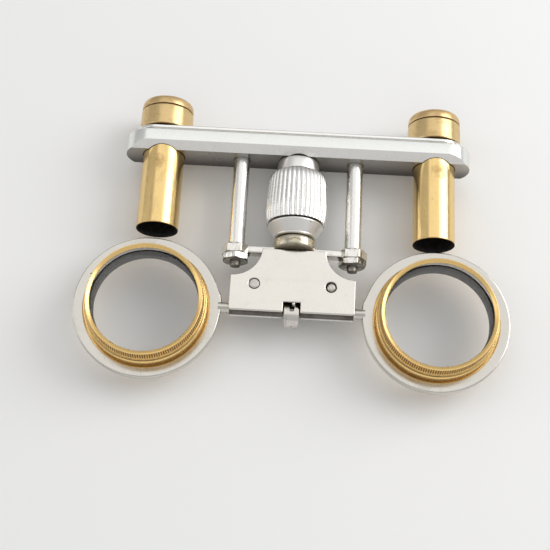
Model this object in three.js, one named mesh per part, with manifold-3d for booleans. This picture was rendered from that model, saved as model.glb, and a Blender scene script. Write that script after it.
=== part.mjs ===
// Folding opera glasses, folded flat: the lens rings lie in the plane of the optical axes.
// Millimetres. X to the right, Y from the lenses towards the eyes, Z up.
// Every piece is modelled about the middle plane of the eye tubes, then the whole is moved
// so that the centre of its underside is the origin.
import * as THREE from "three";
import { mergeVertices } from "three/addons/utils/BufferGeometryUtils.js";
import Module from "manifold-3d";

const wasm = await Module();
wasm.setup();

// Driving sizes
const eyeX = 32.0; // half the distance between the eye tubes
const ringX = 32.5; // half the distance between the lens rings
const rodX = 13.4; // half the distance between the guide rods
const stemY = -38.2; // the line both lens rings turn about
const barHalfLength = 40.5;
const barHalfHeight = 5.2;
const barFrontY = -1.17;
const barBevelY = 1.05;
const barRearY = 3.8;
const barFrontHalfHeight = 4.42;
const tubeRadius = 4.8;
const tubeMouthY = -20.1;
const cupRadius = 6.13;
const cupEndY = 12.0;
const knobRadius = 7.2;
const fluteCount = 38;
const rodRadius = 1.9;
const stubRadius = 1.15;
const lugCorner = 3.15;
const nutCorner = 3.05;
const nutTurn = 21; // degrees from a flat facing up
const plateOuterZ = 2.8;
const plateThickness = 0.6;
const ringRadius = 16.2;
const ringHalfThickness = 0.9;
const ringHole = 14.24;
const stemRadius = 1.3;
const moveY = (ringRadius - stemY - cupEndY) / 2;
const moveZ = knobRadius;

const degrees = Math.PI / 180;

// Solids
function solidFrom(geometry) {
  const bare = new THREE.BufferGeometry();
  const plain = geometry.index ? geometry.toNonIndexed() : geometry;
  bare.setAttribute("position", plain.getAttribute("position"));
  const merged = mergeVertices(bare, 1e-4);
  const at = merged.attributes.position.array;
  const from = merged.index.array;
  const faces = [];
  let volume = 0;
  for (let i = 0; i < from.length; i += 3) {
    const [a, b, c] = [from[i], from[i + 1], from[i + 2]];
    if (a === b || b === c || c === a) continue;
    faces.push(a, b, c);
    const [p, q, r] = [a, b, c].map((k) => new THREE.Vector3().fromArray(at, 3 * k));
    volume += p.dot(q.cross(r));
  }
  if (volume < 0) {
    for (let i = 0; i < faces.length; i += 3) [faces[i], faces[i + 1]] = [faces[i + 1], faces[i]];
  }
  return new wasm.Manifold(
    new wasm.Mesh({ numProp: 3, vertProperties: at, triVerts: new Uint32Array(faces) }),
  );
}

function geometryFrom(solid) {
  const mesh = solid.getMesh();
  const step = mesh.numProp;
  const at = new Float32Array(mesh.numVert * 3);
  for (let i = 0; i < mesh.numVert; i++) at.set(mesh.vertProperties.subarray(i * step, i * step + 3), i * 3);
  const geometry = new THREE.BufferGeometry();
  geometry.setAttribute("position", new THREE.BufferAttribute(at, 3));
  geometry.setIndex(new THREE.BufferAttribute(mesh.triVerts, 1));
  return geometry;
}

// A turned piece about +Y. Points are [radius, y]; a ring's profile closes on itself.
function turned(points, segments, x = 0, z = 0) {
  const profile = points.map(([r, y]) => new THREE.Vector2(r, y));
  if (points.every(([r]) => r > 0)) profile.push(profile[0].clone());
  const geometry = new THREE.LatheGeometry(profile, segments);
  geometry.translate(x, 0, z);
  return solidFrom(geometry);
}

// A turned piece about +Z. Points are [radius, z].
function turnedUp(points, segments, x, y) {
  const profile = points.map(([r, z]) => new THREE.Vector2(r, z));
  if (points.every(([r]) => r > 0)) profile.push(profile[0].clone());
  const geometry = new THREE.LatheGeometry(profile, segments);
  geometry.rotateX(Math.PI / 2);
  geometry.translate(x, y, 0);
  return solidFrom(geometry);
}

function rodAlong(axis, radius, from, to, segments, at) {
  const geometry = new THREE.CylinderGeometry(radius, radius, to - from, segments);
  geometry.translate(0, (from + to) / 2, 0);
  if (axis === "x") geometry.rotateZ(-Math.PI / 2);
  if (axis === "z") geometry.rotateX(Math.PI / 2);
  geometry.translate(...at);
  return solidFrom(geometry);
}

function block(x0, x1, y0, y1, z0, z1) {
  const geometry = new THREE.BoxGeometry(x1 - x0, y1 - y0, z1 - z0);
  geometry.translate((x0 + x1) / 2, (y0 + y1) / 2, (z0 + z1) / 2);
  return solidFrom(geometry);
}

// A shape drawn in X and Z, pushed from y0 back to y1.
function pushedBack(shape, y0, y1, curveSegments = 10) {
  const geometry = new THREE.ExtrudeGeometry(shape, { depth: y1 - y0, bevelEnabled: false, curveSegments });
  geometry.rotateX(Math.PI / 2);
  geometry.translate(0, y1, 0);
  return solidFrom(geometry);
}

// A shape drawn in X and Y, pushed up from z0 to z1.
function pushedUp(shape, z0, z1, curveSegments = 10) {
  const geometry = new THREE.ExtrudeGeometry(shape, { depth: z1 - z0, bevelEnabled: false, curveSegments });
  geometry.translate(0, 0, z0);
  return solidFrom(geometry);
}

function stadium(halfLength, halfHeight) {
  const shape = new THREE.Shape();
  const straight = halfLength - halfHeight;
  shape.moveTo(-straight, -halfHeight);
  shape.lineTo(straight, -halfHeight);
  shape.absarc(straight, 0, halfHeight, -Math.PI / 2, Math.PI / 2, false);
  shape.lineTo(-straight, halfHeight);
  shape.absarc(-straight, 0, halfHeight, Math.PI / 2, 1.5 * Math.PI, false);
  return shape;
}

function hexagon(x, corner, turn, y0, y1) {
  const shape = new THREE.Shape();
  for (let i = 0; i < 6; i++) {
    const angle = (60 * i + turn) * degrees;
    const [a, b] = [x + corner * Math.cos(angle), corner * Math.sin(angle)];
    if (i === 0) shape.moveTo(a, b);
    else shape.lineTo(a, b);
  }
  return pushedBack(shape, y0, y1);
}

const finishes = {
  nickel: { color: 0xe4e2da, metalness: 1, roughness: 0.25 },
  satinNickel: { color: 0xd6d5cf, metalness: 1, roughness: 0.4 },
  oldNickel: { color: 0xb9b09a, metalness: 1, roughness: 0.35 },
  brass: { color: 0xd9b169, metalness: 1, roughness: 0.25 },
  steel: { color: 0xa9a59c, metalness: 1, roughness: 0.35 },
  blackened: { color: 0x14130f, metalness: 0.2, roughness: 0.7 },
  glass: { color: 0xdfe3e0, metalness: 0, roughness: 0.05, transparent: true, opacity: 0.35 },
};

const group = new THREE.Group();
group.name = "opera_glasses";

function place(name, solid, finish) {
  const mesh = new THREE.Mesh(
    geometryFrom(solid.translate([0, moveY, moveZ])),
    new THREE.MeshStandardMaterial(finishes[finish]),
  );
  mesh.name = name;
  group.add(mesh);
}

const sides = [
  ["left", -1],
  ["right", 1],
];

// Eye bar: a pressed shell with a bevelled front edge, closed at the back by a thin plate
{
  const bevelDepth = barBevelY - barFrontY;
  const bevelRise = barHalfHeight - barFrontHalfHeight;
  const outer = new THREE.ExtrudeGeometry(stadium(barHalfLength, barHalfHeight), {
    depth: 5,
    bevelEnabled: true,
    bevelThickness: bevelDepth,
    bevelSize: bevelRise,
    bevelOffset: -bevelRise,
    bevelSegments: 1,
    curveSegments: 9,
  });
  outer.rotateX(Math.PI / 2);
  outer.translate(0, barBevelY + 5, 0);
  let shell = solidFrom(outer)
    .subtract(block(-60, 60, barRearY, 20, -20, 20))
    .subtract(pushedBack(stadium(barHalfLength - 1, barHalfHeight - 1), barFrontY + 0.8, 10, 6))
    .subtract(rodAlong("y", 4.9, -4, 1, 28, [0, 0, 0]));
  for (const [, side] of sides) {
    shell = shell
      .subtract(rodAlong("y", tubeRadius + 0.25, -4, 0.95, 28, [side * eyeX, 0, 0]))
      .subtract(rodAlong("y", rodRadius + 0.2, -4, 2, 20, [side * rodX, 0, 0]));
  }
  place("bar_shell", shell, "satinNickel");

  let rearPlate = pushedBack(stadium(barHalfLength, barHalfHeight), 4.35, 5.0, 9).add(
    pushedBack(stadium(barHalfLength - 0.7, barHalfHeight - 0.7), 4.0, 4.5, 6),
  );
  for (const [, side] of sides) rearPlate = rearPlate.subtract(rodAlong("y", 4.35, 3, 6, 24, [side * eyeX, 0, 0]));
  place("bar_back_plate", rearPlate, "nickel");

  place(
    "knob_bearing",
    block(-6, 6, 0.4, 2.5, -3.9, 3.9).subtract(rodAlong("y", 2.2, -1, 4, 16, [0, 0, 0])),
    "steel",
  );
}

// Eye tubes, their cups, caps, lenses and light stops, and the bushes of the guide rods
for (const [name, side] of sides) {
  const x = side * eyeX;
  place(
    name + "_tube",
    turned(
      [
        [4.4, tubeMouthY], [tubeRadius, tubeMouthY], [tubeRadius, 0.7], [4.1, 0.7], [4.1, 6.5], [3.7, 6.5], [3.7, 0.2],
        [4.4, -0.3],
      ],
      28, x,
    ),
    "brass",
  );
  place(
    name + "_eyecup",
    turned(
      [
        [4.35, 5.25], [cupRadius, 5.25], [cupRadius, 9.45], [5.95, 9.7], [5.25, 9.7], [5.25, 7.0], [4.35, 6.8],
      ],
      28, x,
    ),
    "brass",
  );
  place(
    name + "_eye_cap",
    turned(
      [
        [3.9, 9.3], [5.0, 9.3], [5.0, 10.0], [6.05, 10.0], [5.75, 11.5], [5.3, cupEndY], [4.9, cupEndY], [3.9, 10.8],
      ],
      28, x,
    ),
    "brass",
  );
  place(
    name + "_eye_lens",
    turned([[0, 7.75], [2.5, 7.65], [4.95, 7.2], [4.95, 9.0], [2.5, 8.55], [0, 8.4]], 24, x),
    "glass",
  );
  place(
    name + "_stop_ring",
    turned([[3.2, -13.4], [4.2, -13.4], [4.2, -12.6], [3.4, -12.6]], 20, x),
    "blackened",
  );
  place(
    name + "_rod_bush",
    turned([[rodRadius + 0.2, 0.0], [3.4, 0.0], [3.4, 3.6], [rodRadius + 0.2, 3.6]], 20, side * rodX),
    "steel",
  );
}

// Focus knob: spindle in the bar, smooth collar, fluted barrel, smooth cone and the threaded sleeve inside
{
  place(
    "knob_spindle",
    turned([[0, -7.2], [2.0, -7.2], [2.0, 2.8], [3.2, 2.8], [3.2, 3.7], [0, 3.7]], 16),
    "steel",
  );
  place(
    "knob_collar",
    turned([[2.2, -4.05], [5.15, -4.05], [4.65, -0.7], [2.2, -0.7]], 28),
    "satinNickel",
  );
  const barrel = [
    [5.3, -4.3], [6.2, -4.8], [6.7, -6.0], [7.0, -9.0], [knobRadius, -13.5], [6.75, -16.95],
  ];
  const profile = [...barrel, [3.35, -16.95], [3.35, -7.4], [2.2, -7.4], [2.2, -4.3], [5.3, -4.3]];
  const geometry = new THREE.LatheGeometry(profile.map(([r, y]) => new THREE.Vector2(r, y)), 2 * fluteCount);
  const position = geometry.getAttribute("position");
  for (let i = 0; i < position.count; i++) {
    const column = Math.floor(i / profile.length);
    const row = i % profile.length;
    if (column % 2 === 0 || row === 0 || row >= barrel.length) continue;
    const [r] = profile[row];
    const shrink = (r - 0.28) / r;
    position.setXYZ(i, position.getX(i) * shrink, position.getY(i), position.getZ(i) * shrink);
  }
  place("knob_barrel", solidFrom(geometry), "satinNickel");
  place(
    "knob_cone",
    turned([[3.35, -21.1], [4.85, -21.1], [6.3, -17.5], [6.2, -17.25], [3.35, -17.25]], 28),
    "satinNickel",
  );
  place(
    "drive_sleeve",
    turned([[1.85, -20.8], [3.15, -20.8], [3.15, -7.7], [1.85, -7.7]], 20),
    "brass",
  );
}

// Carriage: cross bar with hub and lugs, screw post, guide rods and their nuts
{
  let cross = block(-rodX, rodX, -24.65, -22.95, -1.3, 1.3).add(
    turned([[0, -23.9], [4.4, -23.9], [4.85, -22.9], [4.7, -21.7], [4.2, -21.4], [0, -21.4]], 28),
  );
  for (const [, side] of sides) {
    cross = cross.add(
      hexagon(side * rodX, lugCorner, nutTurn, -24.65, -22.75).intersect(
        turned([[0, -24.65], [lugCorner, -24.65], [lugCorner, -23.3], [2.6, -22.75], [0, -22.75]], 12, side * rodX),
      ),
    );
  }
  cross = cross.subtract(rodAlong("y", 1.75, -30, -20, 16, [0, 0, 0]));
  for (const [, side] of sides) cross = cross.subtract(rodAlong("y", stubRadius + 0.15, -30, -20, 14, [side * rodX, 0, 0]));
  place("cross_bar", cross, "nickel");
  place("screw_post", turned([[0, -24.6], [1.6, -24.6], [1.6, -8.3], [0, -8.3]], 16), "steel");
  for (const [name, side] of sides) {
    place(
      name + "_guide_rod",
      turned(
        [
          [0, -27.8], [stubRadius, -27.8], [stubRadius, -22.55], [rodRadius, -22.55], [rodRadius, 3.5], [0, 3.5],
        ],
        20, side * rodX,
      ),
      "nickel",
    );
    place(
      name + "_rod_nut",
      hexagon(side * rodX, nutCorner, nutTurn, -26.6, -24.85)
        .intersect(turned([[0, -26.6], [2.75, -26.6], [nutCorner, -26.35], [nutCorner, -24.85], [0, -24.85]], 12, side * rodX))
        .subtract(rodAlong("y", stubRadius + 0.15, -30, -20, 14, [side * rodX, 0, 0])),
      "nickel",
    );
  }
}

// Stem housing: two plates with rolled lips, a core block, a bearing block and a rivet each side
{
  const topHalf = 7.27;
  const shoulderHalf = 14.15;
  const topY = -24.05;
  const shoulderY = -30.7;
  const lipY = -36.9;
  const lipRadius = 3.16;
  const lipCentreZ = plateOuterZ - lipRadius;
  const outline = new THREE.Shape();
  outline.moveTo(-topHalf, topY);
  outline.absellipse(-shoulderHalf, topY, shoulderHalf - topHalf, topY - shoulderY, 0, -Math.PI / 2, true);
  outline.lineTo(-shoulderHalf, -38.3);
  outline.absarc(-shoulderHalf + 0.7, -38.3, 0.7, Math.PI, 1.5 * Math.PI, false);
  outline.lineTo(-1.96, -39.0);
  outline.lineTo(-1.96, -36.6);
  outline.lineTo(1.96, -36.6);
  outline.lineTo(1.96, -39.0);
  outline.lineTo(shoulderHalf - 0.7, -39.0);
  outline.absarc(shoulderHalf - 0.7, -38.3, 0.7, -Math.PI / 2, 0, false);
  outline.lineTo(shoulderHalf, shoulderY);
  outline.absellipse(shoulderHalf, topY, shoulderHalf - topHalf, topY - shoulderY, -Math.PI / 2, -Math.PI, true);
  outline.closePath();

  // The sheet seen from the side: local X is Y in the frame, local Y is Z.
  const sheet = new THREE.Shape();
  const lipEnd = Math.PI / 2 + 42 * degrees;
  sheet.moveTo(topY + 1, plateOuterZ);
  sheet.lineTo(lipY, plateOuterZ);
  sheet.absarc(lipY, lipCentreZ, lipRadius, Math.PI / 2, lipEnd, false);
  sheet.lineTo(
    lipY + (lipRadius - plateThickness) * Math.cos(lipEnd),
    lipCentreZ + (lipRadius - plateThickness) * Math.sin(lipEnd),
  );
  sheet.absarc(lipY, lipCentreZ, lipRadius - plateThickness, lipEnd, Math.PI / 2, true);
  sheet.lineTo(topY + 1, plateOuterZ - plateThickness);
  sheet.closePath();
  const sheetGeometry = new THREE.ExtrudeGeometry(sheet, { depth: 40, bevelEnabled: false, curveSegments: 4 });
  sheetGeometry.applyMatrix4(new THREE.Matrix4().set(0, 0, 1, -20, 1, 0, 0, 0, 0, 1, 0, 0, 0, 0, 0, 1));

  const rivetAt = [8.67, -32.6];
  let front = solidFrom(sheetGeometry).intersect(pushedUp(outline, -10, 10, 6));
  for (const [, side] of sides) front = front.subtract(rodAlong("z", 1.27, -5, 5, 16, [side * rivetAt[0], rivetAt[1], 0]));
  place("front_plate", front, "nickel");
  place("back_plate", front.mirror([0, 0, 1]), "nickel");
  place("core_block", block(-6.8, 6.8, -31.0, -24.95, -2.05, 2.05), "steel");
  for (const [name, side] of sides) {
    const [near, far] = side < 0 ? [-13.7, -2.3] : [2.3, 13.7];
    place(
      name + "_bearing_block",
      block(near, far, -36.7, -31.3, -2.05, 2.05)
        .add(block(near, far, stemY, -36.5, -1.6, 1.6))
        .subtract(rodAlong("x", stemRadius + 0.2, -20, 20, 20, [0, stemY, 0]))
        .subtract(rodAlong("z", 1.27, -5, 5, 16, [side * rivetAt[0], rivetAt[1], 0])),
      "steel",
    );
    place(name + "_rivet", rodAlong("z", 1.15, -2.76, 2.76, 16, [side * rivetAt[0], rivetAt[1], 0]), "nickel");
  }

  // The catch: a strip folded round the inner ends of the stems, its ends in the plates' notches
  const catchRadius = 2.55;
  const catchInner = 2.15;
  const foldY = -39.1;
  const strip = new THREE.Shape();
  strip.moveTo(-38.1, catchRadius);
  strip.lineTo(foldY, catchRadius);
  strip.absarc(foldY, 0, catchRadius, Math.PI / 2, 1.5 * Math.PI, false);
  strip.lineTo(-38.1, -catchRadius);
  strip.lineTo(-38.1, -catchInner);
  strip.lineTo(foldY, -catchInner);
  strip.absarc(foldY, 0, catchInner, 1.5 * Math.PI, Math.PI / 2, true);
  strip.lineTo(-38.1, catchInner);
  strip.closePath();
  const stripGeometry = new THREE.ExtrudeGeometry(strip, { depth: 3.3, bevelEnabled: false, curveSegments: 9 });
  stripGeometry.applyMatrix4(new THREE.Matrix4().set(0, 0, 1, -1.65, 1, 0, 0, 0, 0, 1, 0, 0, 0, 0, 0, 1));
  const tab = new THREE.Shape();
  tab.moveTo(-1.65, -37);
  tab.lineTo(-1.65, -40.9);
  tab.absarc(-0.85, -40.9, 0.8, Math.PI, 1.5 * Math.PI, false);
  tab.lineTo(0.85, -41.7);
  tab.absarc(0.85, -40.9, 0.8, -Math.PI / 2, 0, false);
  tab.lineTo(1.65, -37);
  tab.closePath();
  place(
    "catch_clip",
    solidFrom(stripGeometry)
      .intersect(pushedUp(tab, -5, 5, 4))
      .subtract(rodAlong("z", 1.2, -5, 5, 16, [0, -37.5, 0])),
    "steel",
  );
}

// Lens rings: flat ring with a peaked pad and a stem, brass cell, knurled retaining ring, lens and stem cam
for (const [name, side] of sides) {
  const outer = new THREE.Shape();
  outer.absarc(0, 0, ringRadius, 0, 2 * Math.PI, false);
  const pad = new THREE.Shape();
  const meet = 47 * degrees;
  pad.moveTo(-ringRadius * Math.cos(meet), ringRadius * Math.sin(meet));
  pad.lineTo(-ringRadius + 0.15, 3.1);
  pad.lineTo(-ringRadius - 0.1, 2.3);
  pad.lineTo(-ringRadius - 0.1, -2.3);
  pad.lineTo(-ringRadius + 0.15, -3.1);
  pad.lineTo(-ringRadius * Math.cos(meet), -ringRadius * Math.sin(meet));
  pad.closePath();
  let frame = pushedUp(outer, -ringHalfThickness, ringHalfThickness, 20)
    .add(pushedUp(pad, -ringHalfThickness, ringHalfThickness))
    .add(rodAlong("x", stemRadius, -ringX + 1.9, -15.45, 20, [0, 0, 0]))
    .add(rodAlong("x", 0.8, -ringX + 0.45, -ringX + 2.0, 12, [0, 0, 0]))
    .subtract(rodAlong("z", ringHole, -5, 5, 40, [0, 0, 0]));
  if (side < 0) frame = frame.mirror([1, 0, 0]);
  place(name + "_ring_frame", frame.translate([side * ringX, stemY, 0]), "nickel");

  place(
    name + "_lens_cell",
    turnedUp(
      [
        [11.6, -2.0], [15.1, -2.0], [15.1, -1.1], [13.9, -1.1], [13.9, 2.85], [13.6, 3.1], [12.55, 3.1], [12.55, 0.9], [11.6, 0.9],
      ],
      40, side * ringX, stemY,
    ),
    "brass",
  );
  place(
    name + "_retaining_ring",
    turnedUp(
      [
        [11.95, 3.4], [13.45, 3.4], [13.45, 3.8], [12.95, 6.5], [12.8, 6.6], [12.1, 5.95], [11.95, 5.8],
      ],
      40, side * ringX, stemY,
    ),
    "brass",
  );
  place(
    name + "_object_lens",
    turnedUp(
      [
        [0, 0.55], [6.0, 0.7], [12.3, 1.2], [12.3, 2.95], [9.0, 3.43], [4.5, 3.79], [0, 3.9],
      ],
      36, side * ringX, stemY,
    ),
    "glass",
  );
  const cam = rodAlong("x", 1.9, side < 0 ? -1.75 : 0.45, side < 0 ? -0.45 : 1.75, 20, [0, stemY, 0])
    .subtract(rodAlong("x", 1.0, -3, 3, 12, [0, stemY, 0]))
    .intersect(block(-3, 3, stemY - 1.9, stemY + 1.65, -1.65, 1.9));
  place(name + "_stem_cam", cam, "steel");
}

export default group;
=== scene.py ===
import math
from types import SimpleNamespace

import bmesh
import bpy
from mathutils import Matrix, Vector


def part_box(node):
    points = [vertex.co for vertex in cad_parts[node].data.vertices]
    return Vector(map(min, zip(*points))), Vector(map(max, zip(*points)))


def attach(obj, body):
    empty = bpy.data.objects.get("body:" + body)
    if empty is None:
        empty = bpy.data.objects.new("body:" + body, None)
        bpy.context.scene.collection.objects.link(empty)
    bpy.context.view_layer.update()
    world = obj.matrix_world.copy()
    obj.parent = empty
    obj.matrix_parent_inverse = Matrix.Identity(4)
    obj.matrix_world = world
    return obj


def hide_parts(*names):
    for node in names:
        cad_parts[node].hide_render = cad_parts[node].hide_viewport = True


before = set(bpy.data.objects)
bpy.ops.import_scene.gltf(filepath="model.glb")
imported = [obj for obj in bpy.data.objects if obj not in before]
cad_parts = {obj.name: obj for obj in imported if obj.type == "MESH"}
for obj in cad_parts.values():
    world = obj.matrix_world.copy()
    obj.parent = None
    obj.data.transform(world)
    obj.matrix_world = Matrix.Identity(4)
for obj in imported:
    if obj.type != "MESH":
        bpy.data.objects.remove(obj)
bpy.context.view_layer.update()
print("frame loaded:", len(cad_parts), "nodes")

mm = 0.001
tau = 2 * math.pi
sides = (("left", -1), ("right", 1))


# ---- sizes from the frame, in millimetres ----

def cadBox(node):
    low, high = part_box(node)
    x0, y0, z0 = low / mm
    x1, y1, z1 = high / mm
    return SimpleNamespace(
        x0=x0, y0=y0, z0=z0, x1=x1, y1=y1, z1=z1,
        x=(x0 + x1) / 2, y=(y0 + y1) / 2, z=(z0 + z1) / 2,
        radius=(z1 - z0) / 2,
    )


midZ = cadBox("knob_barrel").z  # the middle plane of the folded glasses
stemY = cadBox("left_lens_cell").y  # the line both lens rings turn about


# ---- camera ----

cameraLook = {
    "target": (-4.13, -8.15, 7.2),  # mm, the point in the middle of the view
    "azimuth": 1.57,
    "elevation": 69.74,
    "roll": 1.54,
    "distance": 250.9,
    "lens": 72.0,
}


def makeCamera(look):
    azimuth, elevation, roll = (math.radians(look[k]) for k in ("azimuth", "elevation", "roll"))
    back = Vector((
        math.sin(azimuth) * math.cos(elevation),
        -math.cos(azimuth) * math.cos(elevation),
        math.sin(elevation),
    ))
    right = Vector((math.cos(azimuth), math.sin(azimuth), 0))
    up = back.cross(right)
    rolledRight = right * math.cos(roll) + up * math.sin(roll)
    rolledUp = up * math.cos(roll) - right * math.sin(roll)
    data = bpy.data.cameras.new("camera")
    data.lens = look["lens"]
    data.sensor_width = 36
    data.clip_start = 0.01
    data.clip_end = 20
    camera = bpy.data.objects.new("camera", data)
    turn = Matrix((rolledRight, rolledUp, back)).transposed().to_4x4()
    place = Vector(look["target"]) * mm + back * look["distance"] * mm
    camera.matrix_world = Matrix.Translation(place) @ turn
    bpy.context.scene.collection.objects.link(camera)
    bpy.context.scene.camera = camera


makeCamera(cameraLook)


# ---- floor and light ----

studio = {
    "floorSize": 6.0,  # m
    "floorColor": (0.90, 0.90, 0.895),
    "zenith": (0.58, 0.58, 0.58),
    "horizon": (0.42, 0.42, 0.425),
}

# Each panel: direction from the glasses, distance and size in metres, power in watts, colour
panels = {
    "overheadPanel": ((0.02, 0.40, 0.92), 0.80, (0.95, 0.62), 0.95, (1.0, 0.995, 0.98)),
    "windowPanel": ((0.76, 0.28, 0.58), 0.62, (0.44, 0.40), 1.90, (1.0, 0.995, 0.985)),
    "frontPanel": ((0.05, -0.95, 0.28), 0.90, (1.30, 0.45), 0.60, (1.0, 0.985, 0.98)),
    "leftPanel": ((-0.93, 0.10, 0.36), 0.90, (0.45, 0.80), 0.90, (0.99, 0.995, 1.0)),
}


def makeStudio(look):
    scene = bpy.context.scene
    scene.view_settings.view_transform = "Standard"
    world = bpy.data.worlds.new("studioSky")
    scene.world = world
    world.use_nodes = True
    tree = world.node_tree
    way = tree.nodes.new("ShaderNodeTexCoord")
    parts = tree.nodes.new("ShaderNodeSeparateXYZ")
    shade = tree.nodes.new("ShaderNodeValToRGB")  # from the horizon to straight overhead
    shade.color_ramp.elements[0].color = (*look["horizon"], 1)
    shade.color_ramp.elements[1].color = (*look["zenith"], 1)
    shade.color_ramp.elements[1].position = 0.85
    tree.links.new(way.outputs["Generated"], parts.inputs[0])
    tree.links.new(parts.outputs["Z"], shade.inputs["Fac"])
    tree.links.new(shade.outputs["Color"], tree.nodes["Background"].inputs["Color"])

    half = look["floorSize"] / 2
    mesh = bpy.data.meshes.new("floor")
    corners = [(-half, -half, 0), (half, -half, 0), (half, half, 0), (-half, half, 0)]
    mesh.from_pydata(corners, [], [(0, 1, 2, 3)])
    floor = bpy.data.objects.new("floor", mesh)
    scene.collection.objects.link(floor)
    matte = bpy.data.materials.new("paleFloor")
    matte.use_nodes = True
    shader = matte.node_tree.nodes["Principled BSDF"]
    shader.inputs["Base Color"].default_value = (*look["floorColor"], 1)
    shader.inputs["Roughness"].default_value = 0.9
    shader.inputs["Specular IOR Level"].default_value = 0.1
    mesh.materials.append(matte)

    for name, (direction, distance, size, power, color) in panels.items():
        data = bpy.data.lights.new(name, "AREA")
        data.shape = "RECTANGLE"
        data.size, data.size_y = size
        data.energy = power
        data.color = color
        lamp = bpy.data.objects.new(name, data)
        way = Vector(direction).normalized()
        lamp.location = way * distance
        lamp.rotation_mode = "QUATERNION"
        lamp.rotation_quaternion = way.to_track_quat("Z", "Y")
        lamp.visible_camera = False
        scene.collection.objects.link(lamp)


makeStudio(studio)
print("camera, floor and light are set")


# ---- shader node groups ----

def addNode(tree, kind, **settings):
    made = tree.nodes.new(kind)
    for key, value in settings.items():
        setattr(made, key, value)
    return made


def fill(tree, made, **sockets):
    # a socket takes a number, a colour or another node's output; i0, i1 and so on count the sockets
    for key, value in sockets.items():
        name = key.replace("_", " ")
        byNumber = name[0] == "i" and name[1:].isdigit()
        target = made.inputs[int(name[1:]) if byNumber else name]
        if isinstance(value, bpy.types.NodeSocket):
            tree.links.new(value, target)
        else:
            target.default_value = value
    return made


def mathNode(tree, operation, first, second=0.0, clamp=False):
    made = addNode(tree, "ShaderNodeMath", operation=operation, use_clamp=clamp)
    return fill(tree, made, i0=first, i1=second).outputs[0]


def mixColor(tree, share, first, second, blend="MIX"):
    made = addNode(tree, "ShaderNodeMix", data_type="RGBA", blend_type=blend)
    fill(tree, made, i0=share, i6=first, i7=second)
    return made.outputs[2]


def rangeOf(tree, value, low, high, toLow=0.0, toHigh=1.0):
    made = addNode(tree, "ShaderNodeMapRange", interpolation_type="SMOOTHSTEP")
    fill(tree, made, Value=value, From_Min=low, From_Max=high, To_Min=toLow, To_Max=toHigh)
    return made.outputs[0]


def noiseOf(tree, vector, scale, detail=3.0, roughness=0.55, distortion=0.0):
    made = addNode(tree, "ShaderNodeTexNoise")
    fill(tree, made, Vector=vector, Scale=scale, Detail=detail, Roughness=roughness, Distortion=distortion)
    return made.outputs["Fac"]


def stretchedBy(tree, vector, stretch):
    made = addNode(tree, "ShaderNodeVectorMath", operation="MULTIPLY")
    return fill(tree, made, i0=vector, i1=stretch).outputs[0]


def newGroup(name, inputs, outputs):
    group = bpy.data.node_groups.new(name, "ShaderNodeTree")
    for label, kind, value in inputs:
        made = group.interface.new_socket(label, in_out="INPUT", socket_type="NodeSocket" + kind)
        if value is not None:
            made.default_value = value
    for label, kind in outputs:
        group.interface.new_socket(label, in_out="OUTPUT", socket_type="NodeSocket" + kind)
    start = group.nodes.new("NodeGroupInput")
    end = group.nodes.new("NodeGroupOutput")
    return group, start.outputs, end.inputs


def makeStainGroup():
    # blotches of tarnish with a soft edge and a finer speckle inside
    group, start, end = newGroup(
        "tarnishBlotches",
        [
            ("Vector", "Vector", None), ("Stretch", "Vector", (1, 1, 1)), ("Scale", "Float", 0.2),
            ("Cover", "Float", 0.4), ("Softness", "Float", 0.1), ("Clean", "Color", (1, 1, 1, 1)),
            ("Tarnish", "Color", (0.3, 0.2, 0.1, 1)), ("Strength", "Float", 1.0),
        ],
        [("Color", "Color"), ("Mask", "Float")],
    )
    stretched = stretchedBy(group, start["Vector"], start["Stretch"])
    broad = noiseOf(group, stretched, start["Scale"], 5.0, 0.6, 0.6)
    fine = noiseOf(group, stretched, mathNode(group, "MULTIPLY", start["Scale"], 7.0), 3.0)
    speckle = mathNode(group, "MULTIPLY", mathNode(group, "SUBTRACT", fine, 0.5), 0.25)
    field = mathNode(group, "ADD", broad, speckle)
    edge = mathNode(group, "SUBTRACT", 1.0, start["Cover"])
    low = mathNode(group, "SUBTRACT", edge, start["Softness"])
    high = mathNode(group, "ADD", edge, start["Softness"])
    mask = mathNode(group, "MULTIPLY", rangeOf(group, field, low, high), start["Strength"], clamp=True)
    group.links.new(mask, end["Mask"])
    group.links.new(mixColor(group, mask, start["Clean"], start["Tarnish"]), end["Color"])
    return group


def makePitGroup():
    # scattered round pits: only some cells hold one, and each has its own size
    group, start, end = newGroup(
        "scatteredPits",
        [
            ("Vector", "Vector", None), ("Scale", "Float", 0.5), ("Size", "Float", 0.1),
            ("Share", "Float", 0.3),
        ],
        [("Mask", "Float")],
    )
    cells = fill(group, addNode(group, "ShaderNodeTexVoronoi"), Vector=start["Vector"], Scale=start["Scale"])
    parts = addNode(group, "ShaderNodeSeparateColor")
    group.links.new(cells.outputs["Color"], parts.inputs[0])
    present = mathNode(group, "LESS_THAN", parts.outputs[0], start["Share"])
    reach = mathNode(group, "MULTIPLY", start["Size"], mathNode(group, "ADD", parts.outputs[1], 0.3))
    inside = rangeOf(group, cells.outputs["Distance"], reach, mathNode(group, "MULTIPLY", reach, 0.5))
    group.links.new(mathNode(group, "MULTIPLY", inside, present), end["Mask"])
    return group


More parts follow.
